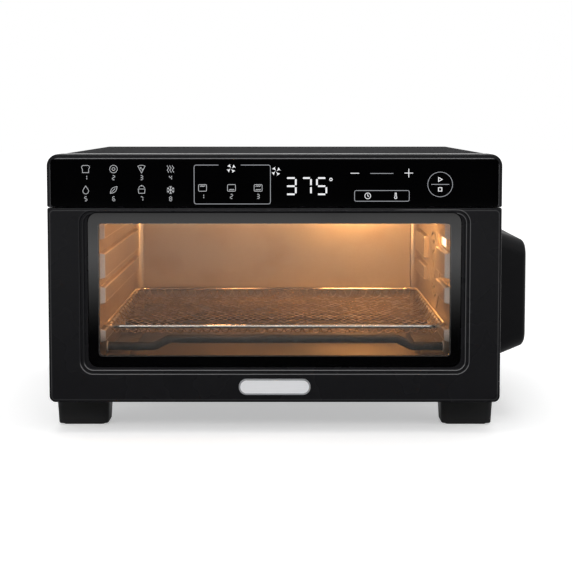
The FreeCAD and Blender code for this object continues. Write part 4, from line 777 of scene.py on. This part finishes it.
# %% Sweep a profile along paths
def sweep(paths, profile, up, closed):
    """Points and faces of tubes. For a path point P with direction T: side = T x up made unit, lift = side
    x T, and each profile number pair (a, b) gives the point P + a side + b lift. Closed paths run round;
    open ones end in flat caps."""
    paths = np.asarray(paths, float)
    profile = np.asarray(profile, float)
    if closed:
        along = np.roll(paths, -1, 1) - np.roll(paths, 1, 1)
    else:
        along = np.gradient(paths, axis=1)
    along /= np.linalg.norm(along, axis=2, keepdims=True)
    side = np.cross(along, np.asarray(up, float))
    side /= np.linalg.norm(side, axis=2, keepdims=True)
    lift = np.cross(side, along)
    points = (paths[:, :, None, :] + profile[None, None, :, 0:1] * side[:, :, None, :]
              + profile[None, None, :, 1:2] * lift[:, :, None, :])
    count, length, sides = points.shape[:3]
    index = np.arange(count * length * sides).reshape(count, length, sides)
    onward = np.roll(index, -1, 1) if closed else index[:, 1:]
    here = index if closed else index[:, :-1]
    quads = np.stack([here, np.roll(here, -1, 2), np.roll(onward, -1, 2), onward], -1).reshape(-1, 4)
    faces = quads.tolist()
    if not closed:
        faces += index[:, 0, ::-1].tolist() + index[:, -1].tolist()
    return points.reshape(-1, 3), faces


def circle(radius, sides):
    """A round profile, turning from sideways to up."""
    angle = np.arange(sides) / sides * 2 * np.pi
    return np.stack([radius * np.cos(angle), radius * np.sin(angle)], 1)


def piece(name, points, faces, material, body, smooth=True):
    """A mesh object from points in oven millimetres, dressed in a finish of a name and riding on a body."""
    mesh = bpy.data.meshes.new(name)
    mesh.from_pydata(place(points).tolist(), [], faces)
    mesh.update()
    mesh.shade_smooth() if smooth else mesh.shade_flat()
    mesh.materials.append(materials[material])
    thing = bpy.data.objects.new(name, mesh)
    bpy.context.scene.collection.objects.link(thing)
    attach(thing, body)
    print(name, len(points), "points", len(faces), "faces")
    return thing


def rounded_loop(width, height, radius, per_corner=16, per_side=2):
    """A closed loop of (a, b) pairs round a rounded rectangle about the origin: each quarter turn is
    centre + radius (cos, sin), the corners are joined by straight sides with a few points on them."""
    loop = []
    for turn in range(4):
        sign_a = 1 if turn in (0, 3) else -1
        sign_b = 1 if turn in (0, 1) else -1
        angle = (turn + np.linspace(0, 1, per_corner)) * np.pi / 2
        centre = np.array([sign_a * (width / 2 - radius), sign_b * (height / 2 - radius)])
        loop.append(centre + radius * np.stack([np.cos(angle), np.sin(angle)], 1))
    joined = []
    for turn in range(4):
        joined.append(loop[turn])
        start, end = loop[turn][-1], loop[(turn + 1) % 4][0]
        share = np.linspace(0, 1, per_side + 2)[1:-1, None]
        joined.append(start + (end - start) * share)
    return np.concatenate(joined)


print("sweep ready")

# %% [markdown]
# The basket's rim is a polished wire bent into a rounded rectangle. The CAD rim is right in size, but a
# swept circle with many sides gives a cleaner glint, so the new rim replaces it on the same centre line.

# %% Basket rim
rim_low, rim_high = oven_box("basket_rim")
WIRE = 1.8
rim_middle = (rim_low + rim_high) / 2
rim_size = rim_high - rim_low
CORNER = 18.0 - WIRE
rim_loop = rounded_loop(rim_size[0] - 2 * WIRE, rim_size[1] - 2 * WIRE, CORNER, 24, 3)
rim_path = np.column_stack([rim_loop + rim_middle[:2], np.full(len(rim_loop), rim_middle[2])])
points, faces = sweep([rim_path], circle(WIRE, 24), (0, 0, 1), True)
rim = piece("basket_rim_wire", points, faces, "polished_wire", "basket")
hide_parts("basket_rim")

# %% [markdown]
# The net is woven from fine wire and pressed into a shallow dish. In the photograph its wires run slantwise,
# so both families are set at 45 degrees and then drawn out in depth, which keeps the meshes open at the
# camera's low angle. A weave is two families that pass over and under each other: a wire's height is the
# dish's height plus a wave whose sign changes at each crossing. The dish's height depends only on how far
# inside the rim a place is: it falls along a smooth curve and then stays level. The wires are rolled flat
# after weaving, so their profile is a low ellipse, and light passes between them.

# %% Basket net
net_low = oven_box("basket_net")[0]
NET_WIRE = 0.46
NET_THIN = 0.23
NET_PITCH = 7.4
NET_STRETCH = np.array([0.8, 1.6])
NET_WAVE = 0.95 * NET_THIN
SHORTEST_WIRE = 30
DISH = rim_middle[2] - net_low[2] - 2.2 * NET_THIN
SLOPE = 9.0
half_x, half_y = rim_size[0] / 2 - WIRE, rim_size[1] / 2 - WIRE


def dish_depth(inside):
    """How deep the dish is a distance inside the rim's centre line: a smooth fall over the slope."""
    share = np.clip(inside / SLOPE, 0, 1)
    return DISH * (share * share * (3 - 2 * share)) ** 0.8


def inside_rim(x, y):
    """Distance inside a rounded rectangle: minus the signed distance, as for the door's window."""
    qx = np.abs(x) - (half_x - CORNER)
    qy = np.abs(y) - (half_y - CORNER)
    outside = np.hypot(np.maximum(qx, 0), np.maximum(qy, 0)) + np.minimum(np.maximum(qx, qy), 0)
    return CORNER - outside


def woven(sign):
    """One family of slanting wires. With n = (-1, 1) / root 2 and d = (1, 1) / root 2, wire i of the first
    family is c n + s d, c = (i + 1/2) pitch, and the second family has n and d changed over. Crossings lie at
    s = (j + 1/2) pitch, where the wave cos(pi (s / pitch + i + 1/2)) is +1 or -1; the second family has it
    the other way up. Every place is then multiplied by the stretch in width and in depth."""
    n, d = np.array([-1.0, 1.0]) / 2 ** 0.5, np.array([1.0, 1.0]) / 2 ** 0.5
    if sign < 0:
        n, d = d, n
    count = int((half_x / NET_STRETCH[0] + half_y) / 2 ** 0.5 / NET_PITCH)
    paths = []
    for i in range(-count, count):
        middle = (i + 0.5) * NET_PITCH * n
        fine = np.arange(-half_x - half_y, half_x + half_y, 0.1) / NET_STRETCH[0]
        places = (middle + fine[:, None] * d) * NET_STRETCH
        within = fine[inside_rim(places[:, 0], places[:, 1]) > 0]
        if len(within) < SHORTEST_WIRE:
            continue
        steps = np.arange(np.ceil(within[0] / NET_PITCH * 2), within[-1] / NET_PITCH * 2) * NET_PITCH / 2
        steps = steps[(steps > within[0] + 0.5) & (steps < within[-1] - 0.5)]
        s = np.concatenate([within[:1], steps, within[-1:]])
        x, y = ((middle + s[:, None] * d) * NET_STRETCH).T
        wave = sign * np.cos(np.pi * (s / NET_PITCH + i + 0.5)) * NET_WAVE
        z = rim_middle[2] - dish_depth(inside_rim(x, y)) + wave
        paths.append(np.stack([x + rim_middle[0], y + rim_middle[1], z], 1))
    return paths


def swept_wires(paths, profile):
    """Wires of different lengths swept one by one and gathered into one mesh."""
    all_points, all_faces, first = [], [], 0
    for path in paths:
        points, faces = sweep([path], profile, (0, 0, 1), False)
        all_points.append(points)
        all_faces += [[corner + first for corner in face] for face in faces]
        first += len(points)
    return np.concatenate(all_points), all_faces


for name, sign in (("basket_net_one_way", 1), ("basket_net_other_way", -1)):
    points, faces = swept_wires(woven(sign), circle(1.0, 6) * [NET_WIRE, NET_THIN])
    net = piece(name, points, faces, "net_wire", "basket")
    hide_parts("basket_net")

# %% [markdown]
# The sheets of the cavity meet at the back in two upright coves. A cove is the corner between the walls less
# a round: its hollow face is a quarter circle, and it catches the lamp as one bright upright line. Its sheet
# is also painted paler and fully metallic, a painted highlight that brightens that line.

# %% Cavity coves
COVE = 10.0
back_wall = cavity_low[1]
# Painted highlight: the coves are paler than the walls' sheet.
finish("cove_steel_painted_highlight", metal(colour(0.72, 0.63, 0.52), colour(0.88, 0.79, 0.67), 1.2, 0.30), Metallic=1.0)
for name, side in (("cavity_cove_left", -1), ("cavity_cove_right", 1)):
    angle = np.linspace(0, np.pi / 2, 13)
    hollow = np.stack([side * (CAVITY_SIDE - COVE + COVE * np.cos(angle)),
                       back_wall - COVE + COVE * np.sin(angle)], 1)
    corner_line = np.array([[side * CAVITY_SIDE, back_wall]])
    outline = np.concatenate([hollow, corner_line])
    heights = np.linspace(cavity_floor_z + 0.2, roof_low[2] - 0.2, 5)
    grid = np.concatenate([np.column_stack([outline, np.full(len(outline), z)]) for z in heights])
    row = len(outline)
    here = np.arange(row * (len(heights) - 1))
    onward = here - here % row + (here + 1) % row
    quads = np.stack([here, onward, onward + row, here + row], 1)
    if side < 0:
        quads = quads[:, ::-1]
    caps = [list(range(row))[::-side], list(range(row * (len(heights) - 1), row * len(heights)))[::side]]
    piece(name, grid, quads.tolist() + caps, "cove_steel_painted_highlight", "root")

# %% [markdown]
# The legends on the touch panel are light behind glass. Each one is a thin raised ribbon of light, a tenth
# of a millimetre thick, just in front of the pane. They are drawn in panel units, where 1 unit is 0.883 mm,
# x counts from the front's middle and y up from the pane's middle. The pictures are plain signs of our own
# and the only characters are digits.

# %% Ribbons of light
UNIT = 0.883
LEGEND_GAP = 0.14
LEGEND_THICKNESS = 0.1
pane_low, pane_high = oven_box("touch_glass")
pane_middle_z = (pane_low[2] + pane_high[2]) / 2
legend_y = pane_low[1] - LEGEND_GAP


def ribbon(path, width, closed=False):
    """A flat band along a path of (x, y) pairs: each point moves half a width to both sides, along the
    bisector of its two edges, further at a bend by 1 / cos of half the turn."""
    path = np.asarray(path, float)
    if closed:
        before = path - np.roll(path, 1, 0)
        after = np.roll(path, -1, 0) - path
    else:
        steps = np.diff(path, axis=0)
        before = np.vstack([steps[:1], steps])
        after = np.vstack([steps, steps[-1:]])
    before /= np.linalg.norm(before, axis=1, keepdims=True)
    after /= np.linalg.norm(after, axis=1, keepdims=True)
    bisector = before + after
    bisector /= np.linalg.norm(bisector, axis=1, keepdims=True)
    stretch = 1 / np.maximum((bisector * before).sum(1), 0.4)
    normal = np.stack([-bisector[:, 1], bisector[:, 0]], 1) * (stretch * width / 2)[:, None]
    return path + normal, path - normal, closed


def arc(x, y, radius, start, sweep_angle, count=24):
    """Points on part of a circle, angles in degrees."""
    angle = np.radians(start + sweep_angle * np.linspace(0, 1, count))
    return np.stack([x + radius * np.cos(angle), y + radius * np.sin(angle)], 1)


def light_piece(name, ribbons, material):
    """All ribbons as one mesh on the pane, each band a strip of quads."""
    points, faces, first = [], [], 0
    for left, right, closed in ribbons:
        count = len(left)
        points += [left, right]
        a = np.arange(count if closed else count - 1)
        b = (a + 1) % count
        faces += (np.stack([a, b, b + count, a + count], 1) + first).tolist()
        first += 2 * count
    flat = np.concatenate(points) * UNIT
    places = np.column_stack([flat[:, 0], np.full(len(flat), legend_y), flat[:, 1] + pane_middle_z])
    thing = piece(name, places, faces, material, "root", smooth=False)
    solid = thing.modifiers.new("thickness", "SOLIDIFY")
    solid.thickness = LEGEND_THICKNESS * MM
    solid.offset = 0.0


def lit(name, tint, level):
    """A finish for a lit legend: a nearly black face whose light has a soft mottle, as of light through a
    screen print."""
    def recipe(start):
        mottle = noise(start, 1.2, 2.0)
        bright = colour(*[level * value for value in tint])
        dim = colour(*[0.86 * level * value for value in tint])
        return {"Emission Color": blend(start, mottle, dim, bright), "Roughness": 0.4 + mottle * 0.1}
    finish(name, recipe, Emission_Strength=1.0, Base_Color=colour(0.02, 0.02, 0.02))


lit("sign_light", (0.95, 0.97, 1.0), 0.55)
lit("bright_light", (0.97, 0.98, 1.0), 1.0)
lit("outline_light", (0.9, 0.93, 1.0), 0.42)
print("legends lie at", round(legend_y, 2), "mm from the face")


MIDDLE_PX, MIDDLE_PY = 274.1, 183.5


def panel(px, py):
    """A place in panel units from its place in the photograph, which was measured in pixels."""
    return np.array([px - MIDDLE_PX, MIDDLE_PY - py])


# %% [markdown]
# Eight cooking programmes are drawn as small signs, four to a row, each with its number under it: a slice,
# a ring, a wedge, rising air, a drop, a leaf, a pot and a frost star. Each sign is a few arcs and lines in
# a square of ten units.


# %% Programme signs
def slice_sign():
    """A slice: straight sides and foot, and a crown of two shoulders."""
    left = arc(-2.4, 2.0, 2.2, 270, -180, 12)
    right = arc(2.4, 2.0, 2.2, 90, -180, 12)
    return [(np.vstack([[(-3.6, -4.2), (-3.6, 0.0)], left[2:], right[:-2], [(3.6, 0.0), (3.6, -4.2)]]), True)]


def ring_sign():
    """A ring seen from above: two circles."""
    return [(arc(0, 0, 4.4, 0, 350, 36), True), (arc(0, 0, 1.7, 0, 340, 20), True)]


def wedge_sign():
    """A wedge with a curved crust and two rounds on it."""
    crust = arc(0, -4.6, 9.0, 118, -56, 14)
    return [(np.vstack([[(0, -4.6)], crust]), True), (arc(-0.9, 1.2, 0.8, 0, 330, 12), True),
            (arc(1.3, -0.6, 0.7, 0, 330, 12), True)]


def air_sign():
    """Three rising waves: x = a sin(b y) beside each other."""
    y = np.linspace(-4.2, 4.2, 28)
    return [(np.stack([x + 0.8 * np.sin(y * 1.3), y], 1), False) for x in (-3.0, 0.0, 3.0)]


def drop_sign():
    """A drop: three quarters of a circle closed by a point above."""
    return [(np.vstack([arc(0, -1.2, 3.3, 145, 250, 28), [(0, 4.8)]]), True)]


def leaf_sign():
    """A leaf of two arcs with its rib."""
    t = np.linspace(0, 1, 16)
    edge = np.stack([-4 + 8 * t, -4 + 8 * t], 1)
    swell = 2.6 * np.sin(np.pi * t)[:, None] * np.array([-0.7, 0.7])
    return [(np.vstack([edge + swell, (edge - swell)[::-1][1:-1]]), True), (edge[2:12], False)]


def pot_sign():
    """A pot with its lid and knob."""
    body = [(-4, 1.2), (-3.4, -3.8), (3.4, -3.8), (4, 1.2)]
    return [(np.array(body, float), True), (arc(0, 1.6, 3.4, 170, -160, 16), False),
            (arc(0, 5.0, 0.5, 0, 330, 10), True)]


def frost_sign():
    """Three bars crossed at 60 degrees with short forks."""
    strokes = []
    for turn in range(3):
        angle = np.pi / 2 + turn * np.pi / 3
        way_out = np.array([np.cos(angle), np.sin(angle)])
        cross = np.array([-way_out[1], way_out[0]])
        strokes.append((np.array([-4.6 * way_out, 4.6 * way_out]), False))
        for end in (-1, 1):
            tip, root = 4.2 * end * way_out, 2.6 * end * way_out
            strokes.append((np.array([tip + 1.3 * cross, root, tip - 1.3 * cross]), False))
    return strokes


def fan_blades(at, size):
    """Four solid blades about a hub. A blade is the strip between its leading edge, which bows ahead, and its
    trailing edge, which bows less: at reach r the edges stand at r times (cos, sin) of a + b sin(pi r)."""
    reach = np.linspace(0.14, 1.0, 12)
    blades = []
    for turn in range(4):
        base = turn * np.pi / 2
        edges = []
        for lag, bow in ((0.10, 0.34), (1.08, 0.12)):
            angle = base + lag * reach ** 0.6 + bow * np.sin(np.pi * reach)
            pinch = size * reach * np.where(reach > 0.999, 0.93, 1.0)
            edges.append(np.stack([pinch * np.cos(angle), pinch * np.sin(angle)], 1) + at)
        blades.append((edges[0], edges[1], False))
    return blades


def heat_sign(top, bottom):
    """An oven's outline with a bar of heat above, below or both."""
    strokes = [(rounded_loop(8.4, 7.0, 1.0, 5, 0), True)]
    for wanted, y in ((top, 1.9), (bottom, -1.9)):
        if wanted:
            x = np.linspace(-2.7, 2.7, 16)
            strokes.append((np.stack([x, y + 0.5 * np.sin(x * 3.5)], 1), False))
    return strokes


def set_down(strokes, at, scale, width):
    """Strokes scaled, moved to a place on the panel and turned to ribbons of a width."""
    return [ribbon(np.asarray(path, float) * scale + at, width, closed) for path, closed in strokes]


signs = (slice_sign(), ring_sign(), wedge_sign(), air_sign(), drop_sign(), leaf_sign(), pot_sign(),
         frost_sign())
COLUMNS = (85.0, 113.0, 141.0, 170.0)
SIGN_ROWS, NUMBER_ROWS = (169.6, 190.6), (178.2, 199.4)
HEAT_COLUMNS = (202.0, 231.0, 257.7)
HEAT_ROW, HEAT_NUMBER_ROW = 188.5, 197.0
FANS = ((230.8, 169.0, 4.9), (275.7, 171.8, 5.0))
SIGN_STROKE = 0.5
ribbons = []
for number, strokes in enumerate(signs):
    ribbons += set_down(strokes, panel(COLUMNS[number % 4], SIGN_ROWS[number // 4]), 0.86, SIGN_STROKE)
for px, heat in zip(HEAT_COLUMNS, ((True, False), (False, True), (True, True))):
    ribbons += set_down(heat_sign(*heat), panel(px, HEAT_ROW), 0.95, SIGN_STROKE)
light_piece("panel_signs", ribbons, "sign_light")
blades = [blade for px, py, size in FANS for blade in fan_blades(panel(px, py), size)]
light_piece("panel_fans", blades, "bright_light")

# %% [markdown]
# The display and the programme numbers use the seven bars of a digital clock. Bars are numbered clockwise
# from the top, with the middle one last, and each digit is a list of the bars that are lit.

# %% Digits
BARS = (((0, 2), (1, 2)), ((1, 2), (1, 1)), ((1, 1), (1, 0)), ((1, 0), (0, 0)), ((0, 0), (0, 1)),
        ((0, 1), (0, 2)), ((0, 1), (1, 1)))
LIT = {0: (0, 1, 2, 3, 4, 5), 1: (1, 2), 2: (0, 1, 6, 4, 3), 3: (0, 1, 6, 2, 3), 4: (5, 6, 1, 2),
       5: (0, 5, 6, 2, 3), 6: (0, 5, 6, 2, 3, 4), 7: (0, 1, 2), 8: (0, 1, 2, 3, 4, 5, 6)}


def digit(value, left, right, top, bottom, width):
    """One digit between pixel edges: each bar runs between two corners, shortened by its own width."""
    a, b = panel(left, bottom), panel(right, top)
    span = np.array([b[0] - a[0], (b[1] - a[1]) / 2])
    strokes = []
    for bar in LIT[value]:
        start, end = (a + np.array(corner) * span for corner in BARS[bar])
        way_on = (end - start) / np.linalg.norm(end - start)
        strokes.append(ribbon([start + way_on * width * 0.62, end - way_on * width * 0.62], width))
    return strokes


DISPLAY = ((3, 285.6, 295.4), (7, 301.6, 310.6), (5, 316.6, 326.0))
DISPLAY_TOP, DISPLAY_FOOT = 178.6, 194.9
DEGREE_PX, DEGREE_PY = 330.6, 180.0
HALF_WIDTH, HALF_HEIGHT = 1.15, 2.1
display = []
for value, left, right in DISPLAY:
    display += digit(value, left, right, DISPLAY_TOP, DISPLAY_FOOT, 1.7)
display.append(ribbon(arc(*panel(DEGREE_PX, DEGREE_PY), 1.25, 0, 345, 16), 0.8, True))
light_piece("panel_digits", display, "bright_light")
places = [(number + 1, COLUMNS[number % 4], NUMBER_ROWS[number // 4]) for number in range(8)]
places += [(index + 1, px, HEAT_NUMBER_ROW) for index, px in enumerate(HEAT_COLUMNS)]
numbers = []
for value, px, py in places:
    numbers += digit(value, px - HALF_WIDTH, px + HALF_WIDTH, py - HALF_HEIGHT, py + HALF_HEIGHT, 0.62)
light_piece("panel_numbers", numbers, "sign_light")

# %% [markdown]
# Thin grey outlines group the touch areas: a box round the fan settings that is open at its top, a line
# between the minus and the plus, a small box under them, and the large round start area with a line across.

# %% Outlines
THIN, CORNER_TURN = 0.55, 2.2
BOX_LEFT, BOX_RIGHT, BOX_TOP, BOX_FOOT = 193.6, 270.0, 165.6, 204.6
GAP_LEFT, GAP_RIGHT = 218.0, 240.4
LINE_LEFT, LINE_RIGHT, LINE_PY = 370.0, 393.0, 174.0
SMALL_BOX_PX, SMALL_ROW = 381.7, 196.5
START_PX, START_PY, START_RADIUS, START_LINE = 440.0, 185.0, 12.4, 9.0
x0, y0 = panel(BOX_LEFT, BOX_FOOT) + CORNER_TURN
x1, y1 = panel(BOX_RIGHT, BOX_TOP) - CORNER_TURN
turns = [arc(x, y, CORNER_TURN, start, 90, 8)
         for x, y, start in ((x0, y1, 90), (x0, y0, 180), (x1, y0, 270), (x1, y1, 0))]
start_middle = panel(START_PX, START_PY)
outlines = [ribbon(np.vstack([[panel(GAP_LEFT, BOX_TOP)], *turns, [panel(GAP_RIGHT, BOX_TOP)]]), THIN),
            ribbon([panel(LINE_LEFT, LINE_PY), panel(LINE_RIGHT, LINE_PY)], THIN),
            ribbon(rounded_loop(54.8, 10.7, 1.8, 8, 0) + panel(SMALL_BOX_PX, SMALL_ROW), THIN, True),
            ribbon(arc(*start_middle, START_RADIUS, 0, 355, 72), 0.48, True),
            ribbon([start_middle - [START_LINE, 0.0], start_middle + [START_LINE, 0.0]], THIN)]
light_piece("panel_outlines", outlines, "outline_light")

# %% [markdown]
# The keys are a minus and a plus, a triangle for start and a square for stop, a clock and a thermometer.

# %% Keys
STROKE, FINE_STROKE = 0.7, 0.6
MINUS = ((350.2, 173.8), (358.8, 173.8))
PLUS = (((404.2, 173.6), (412.8, 173.6)), ((408.5, 169.3), (408.5, 177.9)))
PLAY_PY, STOP_PY = 180.0, 190.0
CLOCK_PX, THERMOMETER_PX = 367.5, 395.5
triangle = [([(-1.6, -2.0), (-1.6, 2.0), (2.0, 0.0)], True)]
square = [([(-1.7, -1.7), (-1.7, 1.7), (1.7, 1.7), (1.7, -1.7)], True)]
clock = [(arc(0, 0, 2.9, 0, 345, 24), True), ([(0, 1.8), (0, 0), (1.3, -0.8)], False)]
thermometer = [(arc(0, -1.6, 1.2, 120, 300, 16), False),
               ([(-0.6, -0.6), (-0.6, 2.8), (0.6, 2.8), (0.6, -0.6)], False)]
keys = [ribbon([panel(*low), panel(*high)], STROKE) for low, high in (MINUS, *PLUS)]
for strokes, px, py, width in ((triangle, START_PX, PLAY_PY, STROKE), (square, START_PX, STOP_PY, STROKE),
                               (clock, CLOCK_PX, SMALL_ROW, FINE_STROKE),
                               (thermometer, THERMOMETER_PX, SMALL_ROW, FINE_STROKE)):
    keys += set_down(strokes, panel(px, py), 1.0, width)
light_piece("panel_keys", keys, "bright_light")

# %% [markdown]
# The door's seal is a soft bulb on a flat foot. Its profile is a half ellipse, swept round the mouth of the
# oven; the CAD seal is a plain square ring, so this one replaces it.

# %% Door seal
seal_low, seal_high = oven_box("door_gasket")
SEAL_WIDTH, SEAL_TURN = 6.0, 10.5
BULB_HALF, BULB_RISE, FOOT_RISE, FOOT_GAP = 2.9, 1.85, 0.3, 0.02
seal_size = seal_high - seal_low
seal_middle = (seal_low + seal_high) / 2
loop = rounded_loop(seal_size[0] - SEAL_WIDTH, seal_size[2] - SEAL_WIDTH, SEAL_TURN, 14, 6)
seal_path = np.column_stack([loop[:, 0] + seal_middle[0], np.full(len(loop), seal_low[1]),
                             loop[:, 1] + seal_middle[2]])
angle = np.linspace(0, np.pi, 13)
bulb = np.column_stack([BULB_HALF * np.cos(angle), FOOT_RISE + BULB_RISE * np.sin(angle)])
profile = np.vstack([[(BULB_HALF, FOOT_GAP)], bulb, [(-BULB_HALF, FOOT_GAP)]])
points, faces = sweep([seal_path], profile, (0, 1, 0), True)
seal = piece("door_seal", points, faces, "seal_rubber", "door")
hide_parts("door_gasket")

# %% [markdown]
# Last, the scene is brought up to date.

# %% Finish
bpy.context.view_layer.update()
